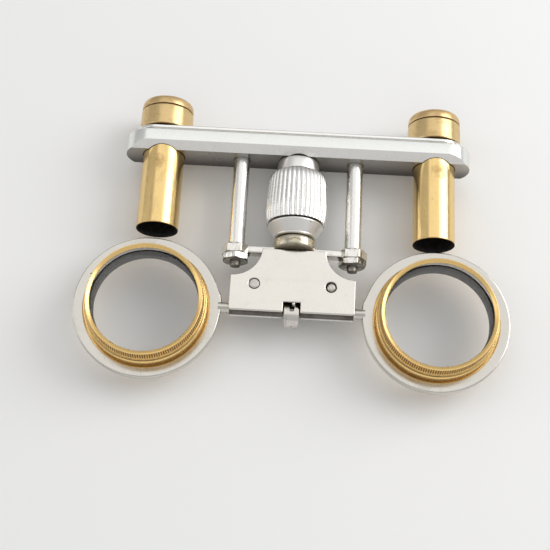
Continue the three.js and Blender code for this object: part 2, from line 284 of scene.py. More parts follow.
def makeHairlineGroup():
    # thin long scratches in several directions
    group, start, end = newGroup(
        "hairlineScratches",
        [("Vector", "Vector", None), ("Scale", "Float", 0.5), ("Width", "Float", 0.02)],
        [("Mask", "Float")],
    )
    total = None
    for turn, stretch in ((0.5, 0.12), (-0.9, 0.16), (1.9, 0.1)):
        placed = addNode(group, "ShaderNodeMapping")
        placed.inputs["Rotation"].default_value = (0.2, 0.1, turn)
        placed.inputs["Location"].default_value = (turn * 7, turn * 3, 0)
        placed.inputs["Scale"].default_value = (1, stretch, 1)
        group.links.new(start["Vector"], placed.inputs["Vector"])
        field = noiseOf(group, placed.outputs[0], start["Scale"], 2.0, 0.5)
        away = mathNode(group, "ABSOLUTE", mathNode(group, "SUBTRACT", field, 0.5))
        line = rangeOf(group, away, start["Width"], 0.0)
        gate = rangeOf(group, noiseOf(group, start["Vector"], 0.35 + 0.1 * turn, 1.0), 0.5, 0.62)
        line = mathNode(group, "MULTIPLY", line, gate)
        total = line if total is None else mathNode(group, "MAXIMUM", total, line)
    group.links.new(total, end["Mask"])
    return group


def makeGrainGroup():
    # fine parallel polishing or turning lines
    group, start, end = newGroup(
        "polishGrain",
        [("Vector", "Vector", None), ("Stretch", "Vector", (1, 1, 1)), ("Scale", "Float", 6.0)],
        [("Height", "Float")],
    )
    stretched = stretchedBy(group, start["Vector"], start["Stretch"])
    group.links.new(noiseOf(group, stretched, start["Scale"], 4.0, 0.65), end["Height"])
    return group


def makeGrimeAndShadeGroup():
    # darkening kept in hollows, seams and end faces, partly dirt and partly painted shade, and a tint where
    # the mesh asks for one, from the values stored on the mesh
    group, start, end = newGroup(
        "hollowsAndRidges",
        [
            ("Vector", "Vector", None), ("Color", "Color", (1, 1, 1, 1)),
            ("Grime", "Color", (0.02, 0.015, 0.01, 1)), ("Bare", "Color", (0.9, 0.8, 0.6, 1)),
            ("Grime Amount", "Float", 1.0), ("Bare Amount", "Float", 1.0),
        ],
        [("Color", "Color"), ("Grime Mask", "Float"), ("Bare Mask", "Float")],
    )
    broken = noiseOf(group, start["Vector"], 1.3, 4.0, 0.6)
    masks = []
    for attribute, amount in (("grime", start["Grime Amount"]), ("bare", start["Bare Amount"])):
        stored = addNode(group, "ShaderNodeAttribute", attribute_name=attribute).outputs["Fac"]
        kept = mathNode(group, "ADD", stored, mathNode(group, "SUBTRACT", broken, 0.5))
        shown = mathNode(group, "MULTIPLY", rangeOf(group, kept, 0.25, 0.75), stored)
        masks.append(mathNode(group, "MULTIPLY", shown, amount, clamp=True))
    tintedColor = mixColor(group, masks[1], start["Color"], start["Bare"])
    group.links.new(mixColor(group, masks[0], tintedColor, start["Grime"]), end["Color"])
    group.links.new(masks[0], end["Grime Mask"])
    group.links.new(masks[1], end["Bare Mask"])
    return group


groups = {
    "stain": makeStainGroup(),
    "pit": makePitGroup(),
    "hairline": makeHairlineGroup(),
    "grain": makeGrainGroup(),
    "grime": makeGrimeAndShadeGroup(),
}


# ---- materials ----

def newMaterial(name):
    material = bpy.data.materials.new(name)
    material.use_nodes = True
    tree = material.node_tree
    return material, tree, tree.nodes["Principled BSDF"]


metalDefaults = {
    "metallic": 1.0, "tarnish": (0.30, 0.24, 0.16), "stainScale": 0.15, "stainStretch": (1, 1, 1),
    "cover": 0.35, "softness": 0.08, "stainStrength": 0.5,
    "roughness": 0.25, "roughSpread": 0.10, "stainRoughness": 0.15, "grimeAndShadeRoughness": 0.4,
    "grainStretch": (1, 1, 1), "grainScale": 6.0, "grainHeight": 0.0006,
    "waveScale": 0.12, "waveHeight": 0.0,
    "pitScale": 0.9, "pitSize": 0.12, "pitShare": 0.12, "pitDepth": 0.02, "pitColor": (0.06, 0.05, 0.045),
    "hairlines": 0.25, "hairScale": 0.9, "hairWidth": 0.012, "hairRoughness": 0.3, "hairDepth": 0.0015,
    "smearScale": 2.5,  # times the scale of the waves
    # grime is the dark colour for the marked hollows, seams and end faces: partly dirt, partly painted shade
    "grime": (0.03, 0.025, 0.02), "grimeAmount": 1.0,
    "bare": (0.76, 0.66, 0.46), "bareAmount": 0.0, "fade": None,
}


def metalFinish(name, changes):
    look = {**metalDefaults, **changes}
    color = look["color"]
    material, tree, shader = newMaterial(name)
    shader.inputs["Metallic"].default_value = look["metallic"]

    def groupNode(key, **sockets):
        return fill(tree, addNode(tree, "ShaderNodeGroup", node_tree=groups[key]), **sockets)

    place = addNode(tree, "ShaderNodeTexCoord").outputs["Object"]
    inMm = addNode(tree, "ShaderNodeMapping")
    inMm.inputs["Scale"].default_value = (1 / mm, 1 / mm, 1 / mm)
    tree.links.new(place, inMm.inputs["Vector"])
    at = inMm.outputs[0]

    stain = groupNode(
        "stain", Vector=at, Stretch=look["stainStretch"], Scale=look["stainScale"],
        Cover=look["cover"], Softness=look["softness"], Clean=(*color, 1),
        Tarnish=(*look["tarnish"], 1), Strength=look["stainStrength"],
    )
    pits = groupNode("pit", Vector=at, Scale=look["pitScale"], Size=look["pitSize"], Share=look["pitShare"])
    pitted = mixColor(tree, pits.outputs["Mask"], stain.outputs["Color"], (*look["pitColor"], 1))
    # the marked hollows, seams and end faces take a darker colour: dirt and painted shade
    grime = groupNode(
        "grime", Vector=at, Color=pitted, Grime=(*look["grime"], 1), Bare=(*look["bare"], 1),
        Grime_Amount=look["grimeAmount"], Bare_Amount=look["bareAmount"],
    )
    shade = grime.outputs["Color"]
    if look["fade"]:
        # the colour changes between two heights, in mm: a painted dark reflection, darker towards the bottom
        low, high, faded = look["fade"]
        parts = addNode(tree, "ShaderNodeSeparateXYZ")
        tree.links.new(at, parts.inputs[0])
        shade = mixColor(tree, rangeOf(tree, parts.outputs["Z"], high, low), shade, (*faded, 1))
    tree.links.new(shade, shader.inputs["Base Color"])

    hairlines = groupNode("hairline", Vector=at, Scale=look["hairScale"], Width=look["hairWidth"])
    smears = noiseOf(tree, at, look["waveScale"] * look["smearScale"], 4.0, 0.6, 0.8)
    low = look["roughness"] - look["roughSpread"] / 2
    base = rangeOf(tree, smears, 0.3, 0.7, low, low + look["roughSpread"])
    stained = mathNode(tree, "MULTIPLY", stain.outputs["Mask"], look["stainRoughness"])
    dirtAndShade = mathNode(tree, "MULTIPLY", grime.outputs["Grime Mask"], look["grimeAndShadeRoughness"])
    scratches = mathNode(
        tree, "MULTIPLY", hairlines.outputs["Mask"], look["hairRoughness"] * look["hairlines"]
    )
    dulled = mathNode(tree, "ADD", mathNode(tree, "ADD", base, stained), dirtAndShade)
    tree.links.new(mathNode(tree, "ADD", dulled, scratches, clamp=True), shader.inputs["Roughness"])

    grain = groupNode("grain", Vector=at, Stretch=look["grainStretch"], Scale=look["grainScale"])
    height = mathNode(tree, "MULTIPLY", grain.outputs["Height"], look["grainHeight"])
    if look["waveHeight"]:
        wave = noiseOf(tree, at, look["waveScale"], 1.0, 0.4)
        height = mathNode(tree, "ADD", height, mathNode(tree, "MULTIPLY", wave, look["waveHeight"]))
    pitDepth = mathNode(tree, "MULTIPLY", pits.outputs["Mask"], look["pitDepth"])
    height = mathNode(tree, "SUBTRACT", height, pitDepth)
    scratchDepth = mathNode(
        tree, "MULTIPLY", hairlines.outputs["Mask"], look["hairDepth"] * look["hairlines"]
    )
    height = mathNode(tree, "SUBTRACT", height, scratchDepth)
    bump = fill(tree, addNode(tree, "ShaderNodeBump"), Height=height, Distance=mm, Strength=1.0)
    tree.links.new(bump.outputs[0], shader.inputs["Normal"])
    return material


blackPaint = {
    "speckleScale": 900.0, "lighter": 2.2, "roughSpread": 0.1, "specular": 0.18,
    "bump": 0.004,  # mm
}


def blackFinish(name, color, roughness, look):
    material, tree, shader = newMaterial(name)
    place = addNode(tree, "ShaderNodeTexCoord").outputs["Object"]
    speckle = noiseOf(tree, place, look["speckleScale"], 4.0, 0.6)
    lighter = tuple(look["lighter"] * c for c in color)
    shade = mixColor(tree, rangeOf(tree, speckle, 0.35, 0.7), (*color, 1), (*lighter, 1))
    tree.links.new(shade, shader.inputs["Base Color"])
    spread = look["roughSpread"]
    dull = rangeOf(tree, speckle, 0.3, 0.7, roughness - spread, roughness + spread)
    tree.links.new(dull, shader.inputs["Roughness"])
    shader.inputs["Specular IOR Level"].default_value = look["specular"]
    bump = fill(tree, addNode(tree, "ShaderNodeBump"), Height=speckle, Distance=look["bump"] * mm)
    tree.links.new(bump.outputs[0], shader.inputs["Normal"])
    return material


lensLook = {"tint": (0.90, 0.905, 0.91), "ior": 1.52, "wipeScale": 160.0, "wipeRoughness": 0.04}


def glassFinish(name, look):
    # clear glass with faint dust and wiping marks, which lets the lamps through to what is behind it
    material, tree, shader = newMaterial(name)
    shader.inputs["Base Color"].default_value = (*look["tint"], 1)
    shader.inputs["Transmission Weight"].default_value = 1.0
    shader.inputs["IOR"].default_value = look["ior"]
    place = addNode(tree, "ShaderNodeTexCoord").outputs["Object"]
    wiped = noiseOf(tree, place, look["wipeScale"], 5.0, 0.65, 1.5)
    hazy = rangeOf(tree, wiped, 0.45, 0.75, 0.0, look["wipeRoughness"])
    tree.links.new(hazy, shader.inputs["Roughness"])
    clear = addNode(tree, "ShaderNodeBsdfTransparent")
    clear.inputs["Color"].default_value = (*look["tint"], 1)
    lightPath = addNode(tree, "ShaderNodeLightPath")
    mix = addNode(tree, "ShaderNodeMixShader")
    output = tree.nodes["Material Output"]
    tree.links.new(lightPath.outputs["Is Shadow Ray"], mix.inputs[0])
    tree.links.new(shader.outputs[0], mix.inputs[1])
    tree.links.new(clear.outputs[0], mix.inputs[2])
    tree.links.new(mix.outputs[0], output.inputs["Surface"])
    return material


metalLooks = {
    "barNickel": dict(
        color=(0.83, 0.84, 0.81), roughness=0.26, roughSpread=0.05, cover=0.26, stainStrength=0.08,
        stainStretch=(0.3, 1, 1), grainStretch=(0.03, 1, 1), grainScale=9.0, grainHeight=0.0001,
        pitShare=0.01, tarnish=(0.55, 0.52, 0.45), hairlines=0.1,
    ),
    # the bar's front face: a darker copy of the nickel with a painted dark reflection that grows towards the
    # bottom
    "barFrontDarkReflection": dict(
        color=(0.42, 0.405, 0.385), roughness=0.30, roughSpread=0.08, cover=0.35, stainStrength=0.3,
        stainStretch=(0.3, 1, 1), tarnish=(0.30, 0.27, 0.22), grainHeight=0.0003, pitShare=0.02,
        fade=(midZ - 4.2, midZ + 3.6, (0.10, 0.092, 0.088)),
    ),
    # the bevelled facets: the bar's nickel painted darker as shade
    "facetShadedNickel": dict(
        color=(0.74, 0.735, 0.715), roughness=0.26, roughSpread=0.05, cover=0.26, stainStrength=0.08,
        stainStretch=(0.3, 1, 1), grainStretch=(0.03, 1, 1), grainScale=9.0, grainHeight=0.0001,
        pitShare=0.01, hairlines=0.1,
    ),
    "edgeNickel": dict(
        color=(0.88, 0.87, 0.84), roughness=0.16, stainStrength=0.10, grainStretch=(0.05, 1, 1),
        grainHeight=0.0002, pitShare=0.0,
    ),
    # a near-white half-metal copy of the nickel for the lip's tip: a painted highlight
    "tipHighlightNickel": dict(
        color=(0.95, 0.94, 0.92), metallic=0.35, roughness=0.30, stainStrength=0.1, pitShare=0.0,
        hairlines=0.1,
    ),
    "plateNickel": dict(
        color=(0.76, 0.735, 0.68), roughness=0.22, roughSpread=0.08, cover=0.28, stainStrength=0.12,
        waveScale=0.08, waveHeight=0.006, grainHeight=0.0002, hairlines=0.5, pitShare=0.0,
    ),
    "ringNickel": dict(
        color=(0.64, 0.615, 0.565), roughness=0.19, roughSpread=0.08, cover=0.36, stainStrength=0.25,
        tarnish=(0.50, 0.47, 0.38), waveScale=0.07, waveHeight=0.010, grainHeight=0.0003, pitScale=0.5,
        pitSize=0.11, pitShare=0.10, hairlines=0.4,
    ),
    "knobNickel": dict(
        color=(0.82, 0.815, 0.80), roughness=0.28, roughSpread=0.06, cover=0.3, stainStrength=0.15,
        grainStretch=(1, 0.2, 1), grainHeight=0.0001, pitShare=0.0, grime=(0.16, 0.15, 0.135),
        grimeAmount=0.85, hairlines=0.1,
    ),
    "coneNickel": dict(
        color=(0.86, 0.845, 0.815), roughness=0.36, roughSpread=0.06, stainStrength=0.15,
        grainStretch=(0.2, 1, 0.2), grainHeight=0.0003, pitShare=0.03, grime=(0.20, 0.18, 0.15),
        hairlines=0.1,
    ),
    "hubNickel": dict(
        color=(0.56, 0.52, 0.42), roughness=0.26, roughSpread=0.2, cover=0.42, stainStrength=0.85,
        stainScale=0.42, stainStretch=(1, 1.6, 1), tarnish=(0.28, 0.22, 0.11), pitShare=0.1,
        grainHeight=0.002, grainScale=1.4, waveScale=0.5, waveHeight=0.02, grime=(0.09, 0.07, 0.045),
    ),
    "rodNickel": dict(
        color=(0.82, 0.81, 0.78), roughness=0.27, roughSpread=0.05, cover=0.3, stainStrength=0.15,
        grainStretch=(1, 0.06, 1), grainHeight=0.0001, bare=(0.80, 0.745, 0.60), bareAmount=0.45,
        pitShare=0.0, hairlines=0.0,
    ),
    "nutNickel": dict(
        color=(0.82, 0.80, 0.75), roughness=0.20, roughSpread=0.08, cover=0.35, stainStrength=0.25,
        stainScale=0.4, pitShare=0.05, grainHeight=0.0003, hairlines=0.15,
    ),
    "wornNut": dict(
        color=(0.80, 0.78, 0.73), roughness=0.22, roughSpread=0.10, cover=0.42, stainStrength=0.6,
        stainScale=0.55, tarnish=(0.25, 0.22, 0.17), pitScale=1.6, pitSize=0.2, pitShare=0.3,
        grainHeight=0.0004, hairlines=0.15,
    ),
    "tubeBrass": dict(
        color=(0.87, 0.63, 0.28), roughness=0.21, roughSpread=0.06, cover=0.42, softness=0.1,
        stainStrength=0.25, stainScale=0.30, stainStretch=(1, 0.3, 1), tarnish=(0.50, 0.34, 0.14),
        grainStretch=(1, 0.05, 1), grainHeight=0.0003, pitScale=0.8, pitSize=0.10, pitShare=0.08,
        pitColor=(0.30, 0.19, 0.08), grime=(0.33, 0.20, 0.08), hairlines=0.1,
    ),
    "capBrass": dict(
        color=(0.72, 0.51, 0.25), roughness=0.34, roughSpread=0.10, cover=0.48, stainStrength=0.5,
        stainScale=0.3, tarnish=(0.46, 0.32, 0.17), grainStretch=(0.15, 1, 0.15), grainHeight=0.0004,
        pitShare=0.08, pitColor=(0.28, 0.18, 0.07), grime=(0.12, 0.07, 0.03), hairlines=0.1,
    ),
    "cupBrass": dict(
        color=(0.72, 0.53, 0.26), roughness=0.30, roughSpread=0.06, cover=0.42, stainStrength=0.45,
        stainScale=0.3, tarnish=(0.48, 0.32, 0.13), grainStretch=(0.15, 1, 0.15), grainHeight=0.0004,
        pitScale=0.9, pitSize=0.12, pitShare=0.10, pitColor=(0.28, 0.18, 0.07),
        grime=(0.16, 0.09, 0.03), hairlines=0.1,
    ),
    "cellBrass": dict(
        color=(0.99, 0.68, 0.27), metallic=0.85, roughness=0.27, roughSpread=0.06, cover=0.34,
        stainStrength=0.30, stainScale=0.22, tarnish=(0.60, 0.33, 0.10), grainHeight=0.0004,
        pitScale=1.0, pitSize=0.12, pitShare=0.06, pitColor=(0.35, 0.18, 0.06),
        grime=(0.10, 0.042, 0.014), hairlines=0.1,
    ),
    "dullBrass": dict(
        color=(0.60, 0.46, 0.24), roughness=0.36, cover=0.5, stainStrength=0.7, stainScale=0.4,
        tarnish=(0.26, 0.18, 0.09),
    ),
    # a near-black copy of the nickel for the plates' inner faces: painted shade
    "insideShadeNickel": dict(
        color=(0.16, 0.145, 0.125), roughness=0.45, cover=0.5, stainStrength=0.6,
        tarnish=(0.06, 0.05, 0.04), grainHeight=0.0005,
    ),
    # the hinge pin is painted near-black as the shade in the gap under the plates
    "pinSteel": dict(
        color=(0.17, 0.155, 0.14), roughness=0.38, cover=0.5, stainStrength=0.5,
        tarnish=(0.08, 0.065, 0.05), grainHeight=0.0003,
    ),
    "steel": dict(
        color=(0.52, 0.49, 0.44), roughness=0.32, roughSpread=0.12, cover=0.45, stainStrength=0.5,
        stainScale=0.5, tarnish=(0.24, 0.20, 0.14), pitShare=0.1, grainHeight=0.0003, hairlines=0.2,
    ),
    "rivetSteel": dict(
        color=(0.60, 0.585, 0.55), roughness=0.35, roughSpread=0.10, cover=0.45, stainStrength=0.3,
        stainScale=0.7, pitShare=0.0, grime=(0.05, 0.045, 0.04),
    ),
    "clipSteel": dict(
        color=(0.68, 0.645, 0.605), roughness=0.26, roughSpread=0.10, cover=0.38, stainStrength=0.4,
        stainScale=0.45, tarnish=(0.30, 0.26, 0.22), pitScale=0.9, pitSize=0.2, pitShare=0.2,
    ),
}
blackLooks = {
    "cellBlack": dict(color=(0.030, 0.025, 0.018), roughness=0.6),
    "tubeBlack": dict(color=(0.014, 0.013, 0.013), roughness=0.5),
}

finishes = {name: metalFinish(name, look) for name, look in metalLooks.items()}
for name, look in blackLooks.items():
    finishes[name] = blackFinish(name, look["color"], look["roughness"], blackPaint)
finishes["lensGlass"] = glassFinish("lensGlass", lensLook)
print("materials are made:", len(finishes))


# ---- building meshes ----

def softened(corners, closed=True, steps=4):
    # each corner is (a, b) or (a, b, soft), where soft is how far its rounding reaches along both edges
    points = []
    count = len(corners)
    for i, corner in enumerate(corners):
        here = Vector(corner[:2])
        soft = corner[2] if len(corner) > 2 else 0
        if not soft or (not closed and i in (0, count - 1)):
            points.append(here)
            continue
        before = Vector(corners[i - 1][:2]) - here
        after = Vector(corners[(i + 1) % count][:2]) - here
        reach = min(soft, 0.49 * before.length, 0.49 * after.length)
        start = here + before.normalized() * reach
        end = here + after.normalized() * reach
        for k in range(steps + 1):
            t = k / steps
            points.append(start * (1 - t) ** 2 + here * 2 * t * (1 - t) + end * t * t)
    return points


def arcPoints(x, y, radiusX, radiusY, start, end, count):
    # angles in degrees
    found = []
    for k in range(count + 1):
        angle = math.radians(start + (end - start) * k / count)
        found.append((x + radiusX * math.cos(angle), y + radiusY * math.sin(angle)))
    return found


def aroundAxis(axis, centre, radius, angle, along):
    a, b = radius * math.sin(angle), radius * math.cos(angle)
    if axis == "y":
        return (centre[0] + a, along, centre[1] + b)
    if axis == "z":
        return (centre[0] + a, centre[1] + b, along)
    return (along, centre[0] + a, centre[1] + b)


def turned(profile, axis, centre, segments=96, closed=True, shape=None):
    # profile points are (radius, place along the axis)
    # shape(radius, along, angle) gives the point's own radius, its darkening (dirt and painted shade) and
    # its tint
    bm = bmesh.new()
    grime = bm.verts.layers.float.new("grime")
    bare = bm.verts.layers.float.new("bare")
    rows = []
    for radius, along in profile:
        ring = []
        for k in range(segments if radius > 1e-6 else 1):
            angle = tau * k / segments
            r, dirtAndShade, tintShare = shape(radius, along, angle) if shape else (radius, 0.0, 0.0)
            vertex = bm.verts.new(aroundAxis(axis, centre, r, angle, along))
            vertex[grime] = dirtAndShade
            vertex[bare] = tintShare
            ring.append(vertex)
        rows.append(ring)
    following = rows[1:] + rows[:1] if closed else rows[1:]
    for first, second in zip(rows, following):
        for k in range(segments):
            n = (k + 1) % segments
            loop = [
                first[k % len(first)], first[n % len(first)],
                second[n % len(second)], second[k % len(second)],
            ]
            loop = [v for i, v in enumerate(loop) if v not in loop[:i]]
            if len(loop) > 2:
                bm.faces.new(loop)
    bmesh.ops.recalc_face_normals(bm, faces=bm.faces)
    return bm


def loopStack(loops):
    # closed loops of the same number of points, joined one to the next, with a face over both ends
    bm = bmesh.new()
    rows = [[bm.verts.new(p) for p in loop] for loop in loops]
    count = len(rows[0])
    for first, second in zip(rows, rows[1:]):
        for k in range(count):
            n = (k + 1) % count
            bm.faces.new((first[k], first[n], second[n], second[k]))
    bm.faces.new(rows[0])
    bm.faces.new(rows[-1])
    bmesh.ops.recalc_face_normals(bm, faces=bm.faces)
    return bm


def evaluatedMesh(holder):
    bpy.context.view_layer.update()
    return bpy.data.meshes.new_from_object(holder.evaluated_get(bpy.context.evaluated_depsgraph_get()))


def slab(outlines, low, high, edge, rounding=3):
    # flat outlines in X and Y, the first solid and the others holes, with rounded edges
    curve = bpy.data.curves.new("outline", "CURVE")
    curve.dimensions = "2D"
    curve.fill_mode = "BOTH"
    curve.extrude = (high - low) / 2 - edge
    curve.bevel_depth = edge
    curve.bevel_resolution = rounding
    curve.offset = -edge
    for outline in outlines:
        spline = curve.splines.new("POLY")
        spline.points.add(len(outline) - 1)
        for point, (x, y) in zip(spline.points, outline):
            point.co = (x, y, 0, 1)
        spline.use_cyclic_u = True
    holder = bpy.data.objects.new("outline", curve)
    bpy.context.scene.collection.objects.link(holder)
    mesh = evaluatedMesh(holder)
    bpy.data.objects.remove(holder)
    bpy.data.curves.remove(curve)
    bm = bmesh.new()
    bm.from_mesh(mesh)
    bpy.data.meshes.remove(mesh)
    bmesh.ops.remove_doubles(bm, verts=bm.verts, dist=0.002)
    bmesh.ops.translate(bm, verts=bm.verts, vec=(0, 0, (low + high) / 2))
    bmesh.ops.recalc_face_normals(bm, faces=bm.faces)
    return bm


def softBlock(x0, x1, y0, y1, z0, z1, edge, segments=3):
    bm = bmesh.new()
    bmesh.ops.create_cube(bm, size=1)
    for vertex in bm.verts:
        vertex.co.x = x1 if vertex.co.x > 0 else x0
        vertex.co.y = y1 if vertex.co.y > 0 else y0
        vertex.co.z = z1 if vertex.co.z > 0 else z0
    bmesh.ops.bevel(bm, geom=bm.edges[:], offset=edge, segments=segments, affect="EDGES", profile=0.5)
    return bm


def boxBlock(box, edge):
    return softBlock(box.x0, box.x1, box.y0, box.y1, box.z0, box.z1, edge)


def tubeCorners(inner, outer, low, high, soft=0.1):
    return [(inner, low, soft), (outer, low, soft), (outer, high, soft), (inner, high, soft)]


def cutAway(bm, cutters):
    # takes the cutters away from bm
    def holderOf(source, name):
        mesh = bpy.data.meshes.new(name)
        source.to_mesh(mesh)
        source.free()
        holder = bpy.data.objects.new(name, mesh)
        bpy.context.scene.collection.objects.link(holder)
        return holder

    body = holderOf(bm, "cutBody")
    tools = [holderOf(cutter, "cutTool") for cutter in cutters]
    for tool in tools:
        modifier = body.modifiers.new("cut", "BOOLEAN")
        modifier.operation = "DIFFERENCE"
        modifier.solver = "EXACT"
        modifier.object = tool
    mesh = evaluatedMesh(body)
    result = bmesh.new()
    result.from_mesh(mesh)
    for holder in [body, *tools]:
        data = holder.data
        bpy.data.objects.remove(holder)
        bpy.data.meshes.remove(data)
    bpy.data.meshes.remove(mesh)
    return result


def addPiece(name, bm, body, looks, stands=(), sharp=34):
    mesh = bpy.data.meshes.new(name)
    bm.to_mesh(mesh)
    bm.free()
    mesh.transform(Matrix.Scale(mm, 4))
    mesh.shade_smooth()
    mesh.set_sharp_from_angle(angle=math.radians(sharp))
    for look in looks if isinstance(looks, (list, tuple)) else [looks]:
        mesh.materials.append(finishes[look])
    piece = bpy.data.objects.new(name, mesh)
    bpy.context.scene.collection.objects.link(piece)
    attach(piece, body)
    if stands:
        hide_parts(*stands)
    return piece


def addTurned(
    name, corners, axis, centre, segments, body, looks, slotName, stands, closed=True, shape=None
):
    bm = turned(softened(corners, closed=closed), axis, centre, segments, closed, shape)
    return addPiece(name, bm, body, looks, stands)


# ---- eye bar ----

eyeBar = {
    "halfLength": 40.6,
    "halfHeight": 5.85,
    "shift": -0.25,  # of the whole bar along X
    "front": 0.29,  # the front face, behind the frame's own
    "facetDepth": 1.60,
    "facetHalf": 3.85,  # half height of the front face
    "rear": -0.33,  # the rear rim, from the frame's own
    "wall": 1.5,
    "frontWall": 0.9,
    "cutReach": 60,
    "edge": 0.16,
    "roundSteps": 26,
    "tubeHole": 5.02,
    "rodHole": 2.02,
    "spindleHole": 4.4,
    "crease": 0.10,  # rounding of every edge
    "sharp": 28,  # degrees
    "backHole": 4.35,
    "backShorter": 1.6,
    "backDepth": 1.2,  # how far the plate at the back stands behind the rim
}


def stadiumLoop(halfLength, halfHeight, y, steps, shift):
    straight = halfLength - halfHeight
    loop = arcPoints(straight, 0, halfHeight, halfHeight, -90, 90, steps)
    loop += arcPoints(-straight, 0, halfHeight, halfHeight, 90, 270, steps)
    return [(x + shift, y, midZ + z) for x, z in loop]


def softStack(corners, look):
    # corners are (inset, y) or (inset, y, soft)
    profile = softened(corners, closed=False, steps=3)
    length, height = look["halfLength"], look["halfHeight"]
    return loopStack([
        stadiumLoop(length - inset, height - inset, y, look["roundSteps"], look["shift"])
        for inset, y in profile
    ])


def drill(radius, x, start, end):
    return turned([(0, start), (radius, start), (radius, end), (0, end)], "y", (x, midZ), 72, closed=False)


def makeBar(look):
    box = cadBox("bar_shell")
    front, rear = box.y0 + look["front"], box.y1 + look["rear"]
    edge, wall = look["edge"], look["wall"]
    shell = softStack([(0, front), (0, rear, edge), (edge * 2, rear)], look)
    cutters = []
    for side in (1, -1):
        # a flat facet along the top and another along the bottom of the front edge
        rise = (look["halfHeight"] - look["facetHalf"]) / look["facetDepth"]
        section = [
            (front - 1, look["facetHalf"] - rise),
            (front + look["facetDepth"] + 1, look["halfHeight"] + rise),
            (front - 1, look["halfHeight"] + 6),
        ]
        cutters.append(loopStack([
            [(x, y, midZ + side * z) for y, z in section] for x in (-look["cutReach"], look["cutReach"])
        ]))
    cutters.append(softStack([(wall, front + look["frontWall"]), (wall, rear + 1)], look))
    for name, side in sides:
        cutters.append(drill(look["tubeHole"], cadBox(name + "_tube").x, front - 2, rear + 1))
        cutters.append(drill(look["rodHole"], cadBox(name + "_guide_rod").x, front - 2, rear + 1))
    cutters.append(drill(look["spindleHole"], 0, front - 2, rear + 1))
    shell = cutAway(shell, cutters)
    for face in shell.faces:
        if face.normal.y < -0.97 and face.calc_center_median().y < front + 0.1:
            face.material_index = 1
        elif -0.9 < face.normal.y < -0.6 and abs(face.normal.z) > 0.5:
            face.material_index = 2
    bar = addPiece(
        "barShell", shell, "ocular_bar", ["barNickel", "barFrontDarkReflection", "facetShadedNickel"],
        ["bar_shell"], sharp=look["sharp"],
    )
    crease = bar.modifiers.new("crease", "BEVEL")
    crease.width = look["crease"] * mm
    crease.segments = 2
    crease.limit_method = "ANGLE"
    crease.angle_limit = math.radians(look["sharp"])
    crease.harden_normals = True


def makeBarBack(look):
    rear = cadBox("bar_shell").y1 + look["rear"]
    back = rear + look["backDepth"]
    corners = [
        (1.6, rear - 0.4), (0.5, rear - 0.4), (0.5, rear + 0.38), (0.05, rear + 0.42, 0.1),
        (0.05, back, 0.22), (1.0, back),
    ]
    plate = softStack(corners, {**look, "halfLength": look["halfLength"] - look["backShorter"]})
    holes = [drill(look["backHole"], cadBox(name + "_tube").x, rear - 2, rear + 3) for name, side in sides]
    plate = cutAway(plate, holes)
    addPiece("barBackPlate", plate, "ocular_bar", "edgeNickel", ["bar_back_plate"])


makeBar(eyeBar)
makeBarBack(eyeBar)
print("eye bar is made")


# ---- eye tubes ----

eyeTube = {
    "grow": 0.05, "wall": 0.4, "step": 0.7, "visible": 20.8, "mouthWall": 0.13,
    "shorter": {"left": 0.4, "right": 0.0},
    # brown patches: angle from the top, distance from the bar, half angle, half length, strength
    "patches": {
        "left": [
            (-0.16, 5.0, 0.62, 3.4, 0.62), (0.02, 4.0, 0.36, 1.6, 0.55), (-0.62, 9.6, 0.10, 1.9, 0.7),
            (-0.30, 14.2, 0.10, 2.2, 0.6), (0.0, 9.2, 0.40, 2.6, 0.42),
        ],
        "right": [
            (0.14, 3.8, 0.60, 4.2, 0.60), (0.34, 5.0, 0.26, 1.6, 0.55), (-0.6, 15.0, 0.09, 3.2, 0.5),
            (-0.2, 11.0, 0.35, 2.8, 0.38),
        ],
    },
}
eyeCup = {
    "grow": 0.08, "lip": 0.06, "rimEdge": 0.12, "neck": 4.35, "bore": 5.25,
    "lower": 0.40, "higher": 0.30,
}
eyeCap = {"grow": 0.08, "aperture": 3.9, "spigot": 5.0, "rim": 1.0, "longer": 0.42, "taper": 0.16}
eyeStop = {"bore": 3.2, "rearBore": 3.4, "radius": 4.2}
eyeLens = {"frontCurve": 0.5, "backCurve": 0.55, "rim": 0.05}


def paintInside(bm, centre, limit, index):
    # faces that look towards the axis within limit of it take another material
    for face in bm.faces:
        middle = face.calc_center_median()
        away = Vector((middle.x - centre[0], 0, middle.z - centre[1]))
        if away.length < limit and face.normal.dot(away) < 0.01 * away.length:
            face.material_index = index


def makeEyeTube(name, look):
    box = cadBox(name + "_tube")
    radius, shoulder = box.radius + look["grow"], box.y0 + look["visible"]
    inner = radius - look["wall"]
    neck = box.radius - look["step"]
    mouth = box.y0 + look["shorter"][name]
    corners = [
        (inner, mouth + 0.9, 0.1),
        (radius - look["mouthWall"], mouth, 0.03),
        (radius, mouth, 0.06),
        *[(radius, mouth + 0.1 + k * (shoulder - mouth - 0.3) / 44) for k in range(45)],
        (radius, shoulder, 0.1),
        (neck, shoulder),
        (neck, box.y1, 0.1),
        (neck - 0.4, box.y1, 0.1),
        (neck - 0.4, shoulder - 0.5),
        (inner, shoulder - 1.0),
        (inner, box.y0 + 6),
    ]

    def shape(r, along, angle):
        near = math.remainder(angle, tau)
        # the mouth end is painted dark as shade; the patches below are brown stains
        dirtAndShade = max(0.0, 1 - (along - mouth) / 0.35) * 0.9
        for place, down, halfAngle, halfLength, strength in look["patches"][name]:
            reach = ((near - place) / halfAngle) ** 2 + ((shoulder - along - down) / halfLength) ** 2
            dirtAndShade = max(dirtAndShade, strength * max(0.0, 1 - reach))
        return r, dirtAndShade, 0.0

    tube = turned(softened(corners), "y", (box.x, box.z), 128, shape=shape)
    paintInside(tube, (box.x, box.z), radius - 0.05, 1)
    addPiece(
        name + "Tube", tube, "ocular_bar", ["tubeBrass", "tubeBlack"], [name + "_tube"]
    )


